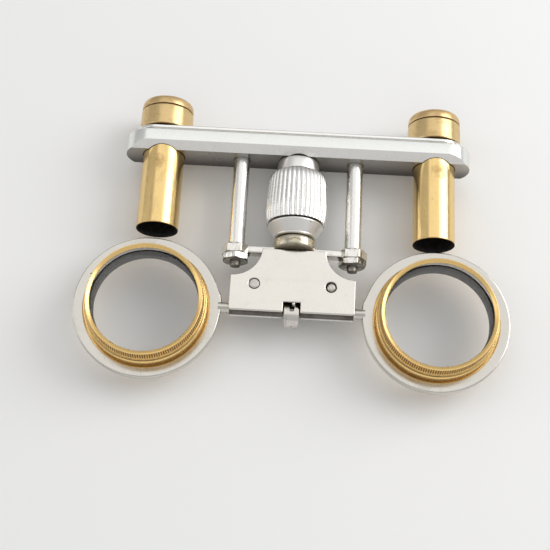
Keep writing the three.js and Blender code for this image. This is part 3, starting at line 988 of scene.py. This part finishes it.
def makeEyeStop(name, look):
    box = cadBox(name + "_stop_ring")
    r = look["radius"]
    corners = [(look["bore"], box.y0, 0.05), (r, box.y0), (r, box.y1), (look["rearBore"], box.y1, 0.05)]
    addTurned(
        name + "StopRing", corners, "y", (cadBox(name + "_tube").x, cadBox(name + "_tube").z), 64,
        "ocular_bar", "tubeBlack", "blackened_brass", [name + "_stop_ring"],
    )


def makeEyeCup(name, look):
    box = cadBox(name + "_eyecup")
    r = box.radius + look["grow"]
    low, high = box.y0 - look["lower"], box.y1 + look["higher"]
    corners = [
        (look["neck"], low),
        (r - 0.1, low, 0.12),
        (r, low + 0.4, 0.15),
        (r, (low + high) / 2),
        (r, high - 0.2, look["rimEdge"]),
        (r - look["lip"], high, 0.08),
        (look["bore"], high, 0.05),
        (look["bore"], high - 2.7),
        (look["neck"], high - 2.9),
    ]

    def shape(radius, along, angle):
        # painted shade where the cup stands over the bar and at its seam with the cap
        atBar = max(0.0, 1 - (along - low) / 0.45)
        atCap = max(0.0, 1 - (high - along) / 0.12) * 0.35
        return radius, max(atBar, atCap), 0.0

    addTurned(
        name + "Eyecup", corners, "y", (box.x, box.z), 128, "ocular_bar", "cupBrass", "lacquered_brass",
        [name + "_eyecup"], shape=shape,
    )


def makeEyeCap(name, look):
    box = cadBox(name + "_eye_cap")
    r = box.radius + look["grow"]
    rim, high = box.y0 + look["rim"], box.y1 + look["longer"]
    corners = [
        (look["aperture"], box.y0),
        (look["spigot"], box.y0),
        (look["spigot"], rim),
        (r, rim, 0.06),
        (r, rim + 0.9, 0.5),
        (r - look["taper"], high - 0.35, 0.3),
        (r - 0.5, high, 0.15),
        (r - 1.0, high, 0.12),
        (look["aperture"], high - 1.1, 0.15),
    ]

    def shape(radius, along, angle):
        # painted shade at the seam with the cup, and on the spigot inside it
        seam = max(0.0, 1 - (along - rim) / 0.12) * 0.45 if along > rim - 0.1 else 0.9
        return radius, seam, 0.0

    addTurned(
        name + "EyeCap", corners, "y", (box.x, box.z), 128, "ocular_bar", "capBrass", "lacquered_brass",
        [name + "_eye_cap"], shape=shape,
    )


def lensProfile(radius, low, high, lowEdge, highEdge, steps=14):
    # two shallow curves that meet a narrow ground rim
    front = [(radius * k / steps, low + (lowEdge - low) * (k / steps) ** 2) for k in range(steps + 1)]
    back = [(radius * k / steps, high - (high - highEdge) * (k / steps) ** 2) for k in range(steps, -1, -1)]
    return front + back


def makeEyeLens(name, look):
    box = cadBox(name + "_eye_lens")
    low, high = box.y0 + look["rim"], box.y1 - look["rim"]
    profile = lensProfile(box.radius, low + look["frontCurve"], high - look["backCurve"], low, high)
    lens = turned(profile, "y", (box.x, box.z), 72, closed=False)
    addPiece(name + "EyeLens", lens, "ocular_bar", "lensGlass", [name + "_eye_lens"])


for name, side in sides:
    makeEyeTube(name, eyeTube)
    makeEyeStop(name, eyeStop)
    makeEyeCup(name, eyeCup)
    makeEyeCap(name, eyeCap)
    makeEyeLens(name, eyeLens)
print("eye tubes are made")


# ---- focus knob ----

knob = {
    "flutes": 38,
    "fluteDepth": 0.42,
    "samples": 14,  # around each flute
    "collarGap": 0.2,  # between the collar and the bar
    "coneShorter": 0.5,
    # the barrel's outline: radius, and distance from the top
    "bulge": [(5.35, 0.0), (6.3, 0.5), (6.78, 1.7), (7.0, 4.7), (7.2, 9.2), (6.75, 12.65)],
    "collarRadii": (5.15, 4.85, 4.66),  # from its front to the bar
    "coneRadii": (4.6, 5.0, 5.02, 6.42, 6.35),  # from its foot to the barrel
    "bore": 3.35,
    "spindleBore": 2.2,
    "boreEnd": 3.1,  # from the top
    "spindle": 2.0,
    "spindleHead": 3.2,
    "headUp": 10.0,  # where the spindle's head starts
    "sleeve": (1.85, 3.15),
}


def smoothThrough(points, count):
    # a smooth line through the points, by Catmull and Rom's rule
    found = []
    extended = [Vector(points[0]) * 2 - Vector(points[1]), *map(Vector, points)]
    extended.append(extended[-1] * 2 - extended[-2])
    for i in range(1, len(extended) - 2):
        a, b, c, d = extended[i - 1:i + 3]
        for k in range(count):
            t = k / count
            found.append(0.5 * (2 * b + (c - a) * t + (2 * a - 5 * b + 4 * c - d) * t ** 2
                                + (3 * b - a - 3 * c + d) * t ** 3))
    found.append(extended[-2])
    return found


def makeKnob(look):
    box = cadBox("knob_barrel")
    centre = (0, midZ)
    top = box.y1
    bulge = smoothThrough([(r, top - down) for r, down in look["bulge"]], 8)
    bore, narrow, end = look["bore"], look["spindleBore"], top - look["boreEnd"]
    inside = [(bore, box.y0), (bore, end), (narrow, end), (narrow, top)]
    profile = [(p[0], p[1]) for p in bulge] + inside
    half = math.pi / look["flutes"]

    def shape(radius, along, angle):
        if radius < 5.0:
            return radius, 0.0, 0.0
        fromTop, fromEnd = top - along, along - box.y0
        share = min(1.0, 0.25 + fromTop / 0.9) * min(1.0, 0.35 + fromEnd / 0.5)
        across = ((angle + half) % (2 * half)) / half - 1
        rib = 1 - math.sqrt(1 - (0.9 * across) ** 2)
        sink = look["fluteDepth"] * share * rib / (1 - math.sqrt(1 - 0.81))
        # the flute valleys and the flute ends are darkened: dirt and painted shade
        valley = max(0.0, (abs(across) - 0.70) / 0.30)
        ends = max(0.0, 1 - abs(fromTop - 0.30) / 0.35) + 0.15 * max(0.0, 1 - fromEnd / 0.3)
        dirtAndShade = valley * (0.22 + min(1.0, ends))
        return radius - sink, dirtAndShade, 0.0

    barrel = turned(profile, "y", centre, look["flutes"] * look["samples"], shape=shape)
    addPiece("knobBarrel", barrel, "knob", "knobNickel", ["knob_barrel"], sharp=50)

    collar = cadBox("knob_collar")
    rear = cadBox("bar_shell").y0 + eyeBar["front"] - look["collarGap"]
    r0, r1, r2 = look["collarRadii"]
    corners = [
        (narrow, collar.y0), (r0, collar.y0, 0.1), (r1, rear - 0.5, 0.4), (r2, rear, 0.12),
        (narrow, rear),
    ]
    addTurned(
        "knobCollar", corners, "y", centre, 128, "knob", "coneNickel", "satin_nickel", ["knob_collar"]
    )

    cone = cadBox("knob_cone")
    foot = cone.y0 + look["coneShorter"]
    r0, r1, r2, r3, r4 = look["coneRadii"]
    corners = [
        (bore, foot), (r0, foot, 0.1), (r1, foot + 0.22, 0.12), (r2, foot + 0.45, 0.08),
        (r3, cone.y1 - 0.28, 0.2), (r4, cone.y1, 0.12), (bore, cone.y1),
    ]

    def coneShade(radius, along, angle):
        # painted shade in the groove and at the seam under the barrel
        groove = max(0.0, 1 - abs(along - foot - 0.47) / 0.10)
        seam = max(0.0, 1 - (cone.y1 - along) / 0.12)
        return radius, max(0.6 * groove, 0.4 * seam), 0.0

    addTurned(
        "knobCone", corners, "y", centre, 128, "knob", "coneNickel", "satin_nickel", ["knob_cone"],
        shape=coneShade,
    )

    spindle = cadBox("knob_spindle")
    thin, thick, head = look["spindle"], look["spindleHead"], spindle.y0 + look["headUp"]
    corners = [
        (0, spindle.y0), (thin, spindle.y0, 0.2), (thin, head), (thick, head, 0.1),
        (thick, spindle.y1, 0.15), (0, spindle.y1),
    ]
    addTurned(
        "knobSpindle", corners, "y", centre, 48, "knob", "steel", "steel", ["knob_spindle"], closed=False
    )
    sleeve = cadBox("drive_sleeve")
    addTurned(
        "driveSleeve", tubeCorners(*look["sleeve"], sleeve.y0, sleeve.y1), "y", centre, 64, "knob",
        "dullBrass", "plain_brass", ["drive_sleeve"],
    )
    bearing = cadBox("knob_bearing")
    hole = turned([(0, 0), (narrow, 0), (narrow, 40), (0, 40)], "y", centre, 48, closed=False)
    plate = cutAway(boxBlock(bearing, 0.3), [hole])
    addPiece("knobBearing", plate, "ocular_bar", "steel", ["knob_bearing"])


makeKnob(knob)
print("focus knob is made")


# ---- carriage ----

crossBar = {
    "hubRadius": 5.0,
    "hubBore": 1.75,
    "hubRise": 0.5,
    "hubFront": 0.75,  # where the hub starts and where it is full, from the front of the cross bar
    "hubFull": 1.45,
    "stripRear": 1.70,  # the strip's depth, from the front of the cross bar
    "stripHalf": 1.3,
    "chamfer": 0.28,
    "lugCorner": 3.40,
    "lugLonger": 0.42,
    "lugHex": 1.50,  # where the lug's flats end and where its rear face is, from the same front
    "lugRear": 1.9,
    "nutCorner": 3.30,
    "turnedFace": 2.75,  # radius of the round faces of the lugs and nuts
    # degrees from a corner on X
    "turns": {"leftLug": 7, "leftNut": 30, "rightLug": 5, "rightNut": 13},
}
guideRod = {"stub": 1.15, "stubLength": 5.25, "play": 0.2}
screwPost = {"pitch": 0.8, "depth": 0.12, "rowStep": 0.1}


def hexTurned(corners, corner, turn, centre, segments=144):
    # a turned profile, cut to six flats with slightly worn corners
    apothem = corner * math.cos(math.pi / 6)

    def shape(radius, along, angle):
        # turn counts from a corner on +X towards +Z, and angle from +Z towards +X
        sector = (math.pi / 2 - angle - math.radians(turn)) % (math.pi / 3) - math.pi / 6
        flat = apothem / math.cos(sector)
        flat = min(flat, corner * 0.985)
        nearCorner = max(0.0, abs(sector) / (math.pi / 6) - 0.8) * 5
        # the end faces and chamfers are darkened: a painted dark reflection on the nut's front and painted
        # shade where the parts meet
        dirtAndShade = 0.62 if radius < corner * 0.9 and along < corners[1][1] + 0.1 else 0.0
        seam = 0.9 if corner - 0.5 < radius < corner - 0.1 else 0.0
        return min(radius, flat), max(dirtAndShade, seam), nearCorner

    return turned(softened(corners), "y", centre, segments, shape=shape)


def makeCrossBar(look):
    box = cadBox("cross_bar")
    front = box.y0
    rodX = cadBox("right_guide_rod").x
    rear = front + look["stripRear"]
    half = look["stripHalf"]
    strip = softBlock(-rodX, rodX, front, rear, midZ - half, midZ + half, look["chamfer"], 2)
    addPiece("crossStrip", strip, "carriage", "nutNickel", ["cross_bar"])

    r, bore = look["hubRadius"], look["hubBore"]
    hubFront, hubRear = front + look["hubFront"], box.y1 + look["hubRise"]
    corners = [
        (bore, hubFront), (r - 0.5, hubFront, 0.2), (r, front + look["hubFull"], 0.5),
        (r, hubRear - 0.5, 0.2), (r - 0.35, hubRear, 0.2), (bore, hubRear, 0.1),
    ]

    def hubShade(radius, along, angle):
        # painted shade: darker towards the underside and where the hub leaves the strip
        low = 0.5 - 0.5 * math.cos(angle)
        under = max(0.0, 1 - (along - hubFront) / 1.5)
        wave = 0.04 * math.sin(3 * angle + 1) * math.sin(2.3 * along)
        return radius + (wave - 0.04 if radius > 3 else 0), max(0.8 * low, 0.85 * under), 0.0

    addTurned(
        "crossHub", corners, "y", (0, midZ), 96, "carriage", "hubNickel", "bright_nickel", ["cross_bar"],
        shape=hubShade,
    )
    for name, side in sides:
        rod = cadBox(name + "_guide_rod")
        inner, faceRadius = guideRod["stub"] + 0.15, look["turnedFace"]
        c = look["lugCorner"]
        meet = front - look["lugLonger"]
        lug = [
            (inner, meet), (c - 0.35, meet), (c, meet + 0.22), (c, front + look["lugHex"]),
            (faceRadius, front + look["lugRear"], 0.08), (inner, front + look["lugRear"]),
        ]
        addPiece(
            name + "RodLug", hexTurned(lug, c, look["turns"][name + "Lug"], (rod.x, midZ)), "carriage",
            "nutNickel", ["cross_bar"], sharp=28,
        )
        nut = cadBox(name + "_rod_nut")
        c = look["nutCorner"]
        ring = [
            (inner, nut.y0, 0.08), (faceRadius, nut.y0, 0.12), (c, nut.y0 + 0.28), (c, meet - 0.18),
            (c - 0.35, meet), (inner, meet),
        ]
        addPiece(
            name + "RodNut", hexTurned(ring, c, look["turns"][name + "Nut"], (rod.x, midZ)), "carriage",
            "wornNut" if side > 0 else "nutNickel", [name + "_rod_nut"], sharp=28,
        )


def makeGuideRod(name, look):
    box = cadBox(name + "_guide_rod")
    radius = box.radius
    step = box.y0 + look["stubLength"]
    corners = [
        (0, box.y0), (look["stub"], box.y0, 0.18), (look["stub"], step), (radius, step, 0.08),
        (radius, box.y1 - 8), (radius, box.y1, 0.2), (0, box.y1),
    ]

    def shape(r, along, angle):
        # a brassy tint on the upper left side of the rod; the thin stub is darkened as painted shade inside
        # the nut's bore, and tinted brassy
        tintShare = max(0.0, math.cos(angle + 1.25)) ** 3
        return (r, 0.0, tintShare) if r > 1.5 else (r, 0.7, 0.9)

    addTurned(
        name + "GuideRod", corners, "y", (box.x, box.z), 64, "carriage", "rodNickel", "bright_nickel",
        [name + "_guide_rod"], closed=False, shape=shape,
    )
    bush = cadBox(name + "_rod_bush")
    corners = tubeCorners(radius + look["play"], bush.radius, bush.y0, bush.y1)
    addTurned(
        name + "RodBush", corners, "y", (box.x, box.z), 64, "ocular_bar", "steel", "steel",
        [name + "_rod_bush"],
    )


def makeScrewPost(look):
    box = cadBox("screw_post")

    def thread(radius, along, angle):
        depth = look["depth"] * abs(((along / look["pitch"] + angle / tau) % 1) * 2 - 1)
        return (radius - depth, 0.3, 0.0) if radius > 1 else (radius, 0.0, 0.0)

    step = look["rowStep"]
    rows = [(box.radius, box.y0 + step * k) for k in range(1, int((box.y1 - box.y0) / step))]
    rows = [(0, box.y0), *rows, (0, box.y1)]
    post = turned(rows, "y", (0, midZ), 32, closed=False, shape=thread)
    addPiece("screwPost", post, "carriage", "steel", ["screw_post"])


makeCrossBar(crossBar)
for name, side in sides:
    makeGuideRod(name, guideRod)
makeScrewPost(screwPost)
print("carriage is made")


# ---- stem housing ----

housing = {
    "thickness": 0.6,
    "edge": 0.16,
    "topHalf": 7.27,
    "shoulderDrop": 6.65,  # from the top edge down to the shoulder
    # each plate's bottom lip: raised bottom edge, length, radius, angle and thickness kept at the tip
    "lips": {"front_plate": (-0.10, 0.50, 1.0, 30, 1.0), "back_plate": (-0.42, 2.3, 2.2, 86, 1.1)},
    "cornerRadius": 0.7,
    "notchHalf": 1.96,
    "notchDepth": 2.4,
    "rivetX": 8.67,
    "rivetUp": 6.4,  # above the bottom edge
    # how far each is sunk, its radius, its dome and how far it is off the middle of its hole
    "rivets": {"left": (0.0, 1.15, 0.02, 0.0), "right": (0.10, 1.10, 0.34, 0.10)},
    "rivetHole": 1.27,
    "stemHole": 1.5,
}
# the small spring ball that looks out of the notch: above the stems, and above the middle plane
detent = {"x": 0.42, "up": 1.5, "rise": 1.95, "radius": 0.47, "stalk": 0.3, "stalkLength": 1.2}


def housingOutline(look, box, bottom):
    topHalf, half = look["topHalf"], box.x1
    shoulder = box.y1 - look["shoulderDrop"]
    corner, notch = look["cornerRadius"], look["notchHalf"]
    right = softened([
        (0, box.y1), (topHalf, box.y1, 0.1),
        *arcPoints(half, box.y1, half - topHalf, look["shoulderDrop"], 180, 270, 22)[1:-1],
        (half, shoulder, 0.12), (half, bottom, corner), (notch, bottom, 0.25),
        (notch, box.y0 + look["notchDepth"], 0.15),
        (0, box.y0 + look["notchDepth"]),
    ], closed=False, steps=5)
    left = [Vector((-p.x, p.y)) for p in reversed(right[1:-1])]
    return [(p.x, p.y) for p in right + left]


def circle(x, y, radius, count=48):
    return [
        (x + radius * math.cos(tau * k / count), y + radius * math.sin(tau * k / count))
        for k in range(count)
    ]


def makePlate(name, look, flip):
    box = cadBox(name)
    outerZ = (box.z0 if flip else box.z1) - midZ
    rise = abs(outerZ)
    raised, lip, radius, bendAngle, tipShare = look["lips"][name]
    bottom = box.y0 + raised
    outlines = [housingOutline(look, box, bottom)]
    for side in (-1, 1):
        outlines.append(circle(side * look["rivetX"], box.y0 + look["rivetUp"], look["rivetHole"]))
    bm = slab(outlines, rise - look["thickness"], rise, look["edge"])
    for face in bm.faces:
        # the inside faces are painted dark as shade, and the very tip is painted bright as a highlight
        atTip = flip and face.calc_center_median().y < bottom + 0.3
        face.material_index = 2 if atTip else 1 if face.normal.z < -0.5 else 0
    bend = bottom + lip
    for k in range(12):
        cut = bm.verts[:] + bm.edges[:] + bm.faces[:]
        place = (0, bend - lip * k / 12, 0)
        bmesh.ops.bisect_plane(bm, geom=cut, plane_co=place, plane_no=(0, 1, 0), dist=0.0005)
    for vertex in bm.verts:
        past = (bend - vertex.co.y) / lip
        if past > 0:
            # the sheet rolls over: what lay past the bend turns about the roll's centre
            angle = past * math.radians(bendAngle)
            reach = radius - (rise - vertex.co.z) * (1 + (tipShare - 1) * past)
            vertex.co.y = bend - reach * math.sin(angle)
            vertex.co.z = rise - radius + reach * math.cos(angle)
    side = -1 if flip else 1
    for vertex in bm.verts:
        vertex.co.z = midZ + side * vertex.co.z
    bmesh.ops.recalc_face_normals(bm, faces=bm.faces)
    addPiece(
        "backPlate" if flip else "frontPlate", bm, "carriage", ["plateNickel", "insideShadeNickel", "tipHighlightNickel"],
        [name],
    )


def makeHousingInside(look):
    core = boxBlock(cadBox("core_block"), 0.15)
    addPiece("coreBlock", core, "carriage", "dullBrass", ["core_block"])
    rivetHole, stemHole = look["rivetHole"], look["stemHole"]
    plateFoot = cadBox("front_plate").y0
    for name, side in sides:
        box = cadBox(name + "_bearing_block")
        centre = (side * look["rivetX"], plateFoot + look["rivetUp"])
        hole = turned([(0, 0), (rivetHole, 0), (rivetHole, 20), (0, 20)], "z", centre, 32, closed=False)
        stem = turned(
            [(0, -20), (stemHole, -20), (stemHole, 20), (0, 20)], "x", (stemY, midZ), 32, closed=False
        )
        block = softBlock(box.x0, box.x1, box.y0 + 1.5, box.y1, box.z0, box.z1, 0.12)
        foot = softBlock(box.x0, box.x1, box.y0, box.y0 + 1.7, box.z0 + 0.45, box.z1 - 0.45, 0.1)
        for part, bm, cutter in (("Block", block, hole), ("Foot", foot, stem)):
            addPiece(
                name + "Bearing" + part, cutAway(bm, [cutter]), "carriage", "dullBrass",
                [name + "_bearing_block"],
            )
        rivet = cadBox(name + "_rivet")
        sunk, r, dome, off = look["rivets"][name]
        low, high = rivet.z0 + sunk * 0.5, rivet.z1 - sunk
        corners = [
            (0, low), (r * 0.6, low), (r, low + 0.06, 0.1),
            (r, high - 0.06 - dome, 0.1 + dome), (r * 0.6, high - dome * 0.15, 0.1), (0, high),
        ]

        def rivetEdgeShade(radius, along, angle):
            # painted shade at the rim of the head, where it sits in its hole
            return radius, max(0.0, (radius / r - 0.86) / 0.14), 0.0

        seat = (centre[0] + off, centre[1] + off * 0.6)
        addTurned(
            name + "Rivet", corners, "z", seat, 48, "carriage", "rivetSteel", "bright_nickel",
            [name + "_rivet"], closed=False, shape=rivetEdgeShade,
        )


def makeDetent(look):
    x, y, z, r = look["x"], stemY + look["up"], midZ + look["rise"], look["radius"]
    ball = [(r * math.sin(math.pi * k / 10), z + r * math.cos(math.pi * k / 10)) for k in range(8)]
    ball += [(look["stalk"], z - look["stalkLength"]), (0, z - look["stalkLength"])]
    bm = turned(ball, "z", (x, y), 32, closed=False)
    addPiece("detentBall", bm, "carriage", "edgeNickel", ["core_block"])


makePlate("front_plate", housing, False)
makePlate("back_plate", housing, True)
makeHousingInside(housing)
makeDetent(detent)
print("stem housing is made")


# ---- catch ----

catch = {
    "thickness": 0.4, "fold": 2.55, "longer": 0.35, "dip": 1.2, "dipCentre": 0.6, "corner": 0.8,
    "edge": 0.05,
}


def makeCatch(look):
    box = cadBox("catch_clip")
    half = box.x1
    middle = look["fold"] - look["thickness"] / 2
    foldY = box.y0 + look["fold"]
    tabEnd = box.y0 - look["longer"]
    columns, straight, bend = 18, 8, 22

    def endY(x):
        if abs(x) >= math.sqrt(look["dip"] ** 2 - look["dipCentre"] ** 2):
            return box.y1
        return box.y1 + look["dipCentre"] - math.sqrt(look["dip"] ** 2 - x * x)

    def halfAt(y):
        start = tabEnd + look["corner"]
        if y >= start:
            return half
        over = min(1.0, (start - y) / look["corner"])
        return half - look["corner"] * (1 - math.sqrt(1 - over * over))

    bm = bmesh.new()
    grid = []
    for row in range(2 * straight + bend + 1):
        line = []
        for column in range(columns + 1):
            u = 2 * column / columns - 1
            if row < straight or row > straight + bend:
                away = row if row < straight else 2 * straight + bend - row
                side = 1 if row < straight else -1
                x = u * half
                start = endY(x)
                y = start + (foldY - start) * away / straight
                z = side * middle
            else:
                angle = math.pi / 2 + math.pi * (row - straight) / bend
                y = foldY + middle * math.cos(angle)
                z = middle * math.sin(angle)
                x = u * halfAt(foldY + (middle + look["thickness"] / 2) * math.cos(angle))
            line.append(bm.verts.new((x, y, midZ + z)))
        grid.append(line)
    for first, second in zip(grid, grid[1:]):
        for k in range(columns):
            bm.faces.new((first[k], first[k + 1], second[k + 1], second[k]))
    bmesh.ops.recalc_face_normals(bm, faces=bm.faces)
    clip = addPiece("catchClip", bm, "catch", "clipSteel", ["catch_clip"])
    solid = clip.modifiers.new("thickness", "SOLIDIFY")
    solid.thickness = look["thickness"] * mm
    solid.offset = 0
    bevel = clip.modifiers.new("edge", "BEVEL")
    bevel.width = look["edge"] * mm
    bevel.segments = 2
    bevel.limit_method = "ANGLE"
    bevel.angle_limit = math.radians(50)


makeCatch(catch)
print("catch is made")


# ---- objectives ----

objective = {"outward": 0.15, "lower": 0.45}  # how far each ring lies from the frame's own place
ringFrame = {
    "radius": 16.6, "hole": 14.3, "half": 1.0, "edge": 0.28,
    "dish": 0.10,  # how much lower the face is at the hole
    "padReach": 0.08,
    # how far the edge stands out where the stem joins: angle round the ring, and extra radius
    "pad": [(160, 0.0), (164, 0.12), (168, 0.42), (172, 0.40), (182, 0.22), (185, 0.06), (189, 0.0)],
    "arm": 1.17, "armRise": 0.45, "armEnd": 13.8,
    "pin": 1.05, "pinEnd": 0.8,
    "pinStep": 1.9,  # where the pin gets thinner and where it ends, from the middle plane
    "pinTip": 0.45,
}
lensCell = {
    "flange": 15.1, "flangeDepth": 0.9, "wall": 13.85, "bore": 12.55, "rearBore": 11.6, "seatUp": 2.9,
    "groove": 13.55,  # radius of the dark line round the retaining ring
}
retainer = {
    "teeth": 156, "toothDepth": 0.20, "samples": 6, "bore": 12.45, "lip": 12.0,
    "footRadius": 13.45, "topRadius": 12.86,
    "footUp": 0.42,  # the line between the foot and the teeth
    "teethUnder": 0.34,  # the end of the teeth, from the top
}
objectLens = {"radius": 12.35, "rise": 1.75, "hollow": 0.5, "dome": 0.55}
stemCam = {"bore": 1.0, "radius": 1.9, "dome": {"left": 0.15, "right": 0.6}}


def ringCentre(name, side):
    box = cadBox(name + "_lens_cell")
    return box.x + side * objective["outward"], stemY - objective["lower"]


def paintWithin(bm, centre, limit, below=math.inf):
    # faces nearer to the ring's own axis than limit, and lower than below, take the second material
    for face in bm.faces:
        middle = face.calc_center_median()
        if math.hypot(middle.x - centre[0], middle.y - centre[1]) < limit and middle.z < below:
            face.material_index = 1


def makeRingFrame(name, side, look):
    x, y = ringCentre(name, side)
    radius, hole, reach = look["radius"], look["hole"], look["radius"] + look["padReach"]
    low, high = midZ - look["half"], midZ + look["half"]
    edge, dish = look["edge"], look["dish"]
    corners = [
        (hole, low, 0.1), (radius - 0.1, low, edge), (radius, midZ, 0.3), (radius - 0.06, high, edge),
        (radius - 0.9, high, 0.3), (hole + 0.5, high - dish * 0.7, 0.3), (hole, high - dish, 0.05),
    ]

    def padShape(r, along, angle):
        # how far round from the stem, in degrees, with the far edge of the ring counted above 180
        around = math.degrees(math.atan2(math.cos(angle), side * math.sin(angle))) % 360
        share = max(0.0, (r - hole) / (radius - hole))
        grow = 0.0
        for (a0, r0), (a1, r1) in zip(look["pad"], look["pad"][1:]):
            if a0 <= around < a1:
                grow = r0 + (r1 - r0) * (around - a0) / (a1 - a0)
        # painted shade along the ring's lower edge
        outer = max(0.0, 1 - abs(along - low) / 0.3) * 0.5
        return r + grow * share ** 4, outer, 0.0

    def addFramePiece(part, corners, axis, centre, segments, finish, **more):
        addTurned(
            name + part, corners, axis, centre, segments, name + "_objective", finish, "bright_nickel",
            [name + "_ring_frame"], **more,
        )

    addFramePiece("RingFrame", corners, "z", (x, y), 288, "ringNickel", shape=padShape)

    outer = x - side * (reach - 0.6)
    arm, armEnd = look["arm"], side * look["armEnd"]
    corners = [
        (0, outer), (arm + 0.12, outer), (arm + 0.12, outer - side * 0.5), (arm, outer - side * 0.95, 0.2),
        (arm, armEnd, 0.2), (0, armEnd),
    ]
    addFramePiece("CastArm", corners, "x", (stemY + look["armRise"], midZ), 48, "ringNickel", closed=False)

    pin, thin = look["pin"], look["pinEnd"]
    step, tip = side * look["pinStep"], side * look["pinTip"]
    corners = [
        (0, armEnd + side * 0.2), (pin, armEnd + side * 0.2), (pin, step, 0.1), (thin, step),
        (thin, tip, 0.1), (0, tip),
    ]
    addFramePiece("HingePin", corners, "x", (stemY, midZ), 48, "pinSteel", closed=False)


def makeLensCell(name, side, look):
    box = cadBox(name + "_lens_cell")
    flange, wall, bore, rearBore = (look[k] for k in ("flange", "wall", "bore", "rearBore"))
    step, seat = box.z0 + look["flangeDepth"], box.z0 + look["seatUp"]
    corners = [
        (rearBore, box.z0, 0.1), (flange, box.z0, 0.12), (flange, step, 0.12), (wall, step),
        (wall, box.z1 - 0.25, 0.18), (wall - 0.3, box.z1, 0.12), (bore, box.z1, 0.05), (bore, seat),
        (rearBore, seat, 0.1),
    ]

    def shape(radius, along, angle):
        # painted shade: a dark line round the retaining ring, and another where the cell stands on the frame
        onTop = along > box.z1 - 0.1 and radius < look["groove"]
        groove = max(0.0, 1 - (look["groove"] - radius) / 0.15) if onTop else 0.0
        foot = max(0.0, 1 - abs(along - midZ - 0.95) / 0.12) if radius > 13.5 else 0.0
        return radius, max(groove, 0.6 * foot), 0.0

    x, y = ringCentre(name, side)
    cell = turned(softened(corners), "z", (x, y), 192, shape=shape)
    paintWithin(cell, (x, y), bore + 0.02)
    addPiece(
        name + "LensCell", cell, name + "_objective", ["cellBrass", "cellBlack"],
        [name + "_lens_cell"],
    )


def makeRetainer(name, side, look):
    box = cadBox(name + "_retaining_ring")
    foot, top = box.z0, box.z1
    bore, lip, wide = look["bore"], look["lip"], look["footRadius"]
    corners = [
        (bore, foot), (wide, foot, 0.08), (wide, foot + 0.36, 0.06), (13.30, foot + 0.44, 0.05),
        (12.98, top - 0.36, 0.05), (13.0, top - 0.24, 0.08), (look["topRadius"], top, 0.14),
        (lip + 0.1, top - 0.5, 0.12), (lip, top - 0.7, 0.05), (bore, top - 0.9),
    ]
    profile = softened(corners)
    lowTooth, highTooth = foot + look["footUp"], top - look["teethUnder"]

    def shape(radius, along, angle):
        # painted shade in the knurl's valleys, at the seam above the foot and along the foot on the cell
        wave = (0.5 - 0.5 * math.cos(look["teeth"] * angle)) ** 0.7
        if radius > 12.9 and lowTooth < along < highTooth:
            edge = min(1.0, (along - lowTooth) / 0.1, (highTooth - along) / 0.1)
            return radius - look["toothDepth"] * wave * edge, 0.95 * wave * edge, 0.0
        seam = max(0.0, 1 - abs(along - foot - look["footUp"]) / 0.1) if radius > 13.1 else 0.0
        return radius, max(0.9 * seam, 0.9 if along < foot + 0.1 else 0.0), 0.0

    flank = []
    for first, second in zip(profile, profile[1:] + profile[:1]):
        flank.append(first)
        if (second - first).length > 1.0 and min(first.x, second.x) > 12.9:
            flank += [first.lerp(second, t) for t in (0.05, 0.35, 0.65, 0.95)]
    x, y = ringCentre(name, side)
    ring = turned(flank, "z", (x, y), look["teeth"] * look["samples"], shape=shape)
    paintWithin(ring, (x, y), bore + 0.05, top - 0.72)
    addPiece(
        name + "RetainingRing", ring, name + "_objective", ["cellBrass", "cellBlack"],
        [name + "_retaining_ring"], sharp=60,
    )


def makeObjectLens(name, side, look):
    box = cadBox(name + "_object_lens")
    high = box.z1 + look["rise"]
    low = box.z0 + look["rise"]
    profile = lensProfile(look["radius"], low, high, low + look["hollow"], high - look["dome"], 24)
    lens = turned(profile, "z", ringCentre(name, side), 160, closed=False)
    addPiece(
        name + "ObjectLens", lens, name + "_objective", "lensGlass",
        [name + "_object_lens"],
    )


def makeStemCam(name, side, look):
    box = cadBox(name + "_stem_cam")
    r, bore, dome = look["radius"], look["bore"], look["dome"][name]
    corners = [(bore, box.x0), (r, box.x0, dome), (r, box.x1, dome), (bore, box.x1)]
    cam = turned(softened(corners), "x", (stemY, midZ), 64)
    for vertex in cam.verts:
        vertex.co.y = min(vertex.co.y, box.y1)
        vertex.co.z = max(vertex.co.z, box.z0)
    finish = "nutNickel" if side > 0 else "steel"
    addPiece(name + "StemCam", cam, name + "_objective", finish, [name + "_stem_cam"])


for name, side in sides:
    makeRingFrame(name, side, ringFrame)
    makeLensCell(name, side, lensCell)
    makeRetainer(name, side, retainer)
    makeObjectLens(name, side, objectLens)
    makeStemCam(name, side, stemCam)
print("objectives are made")
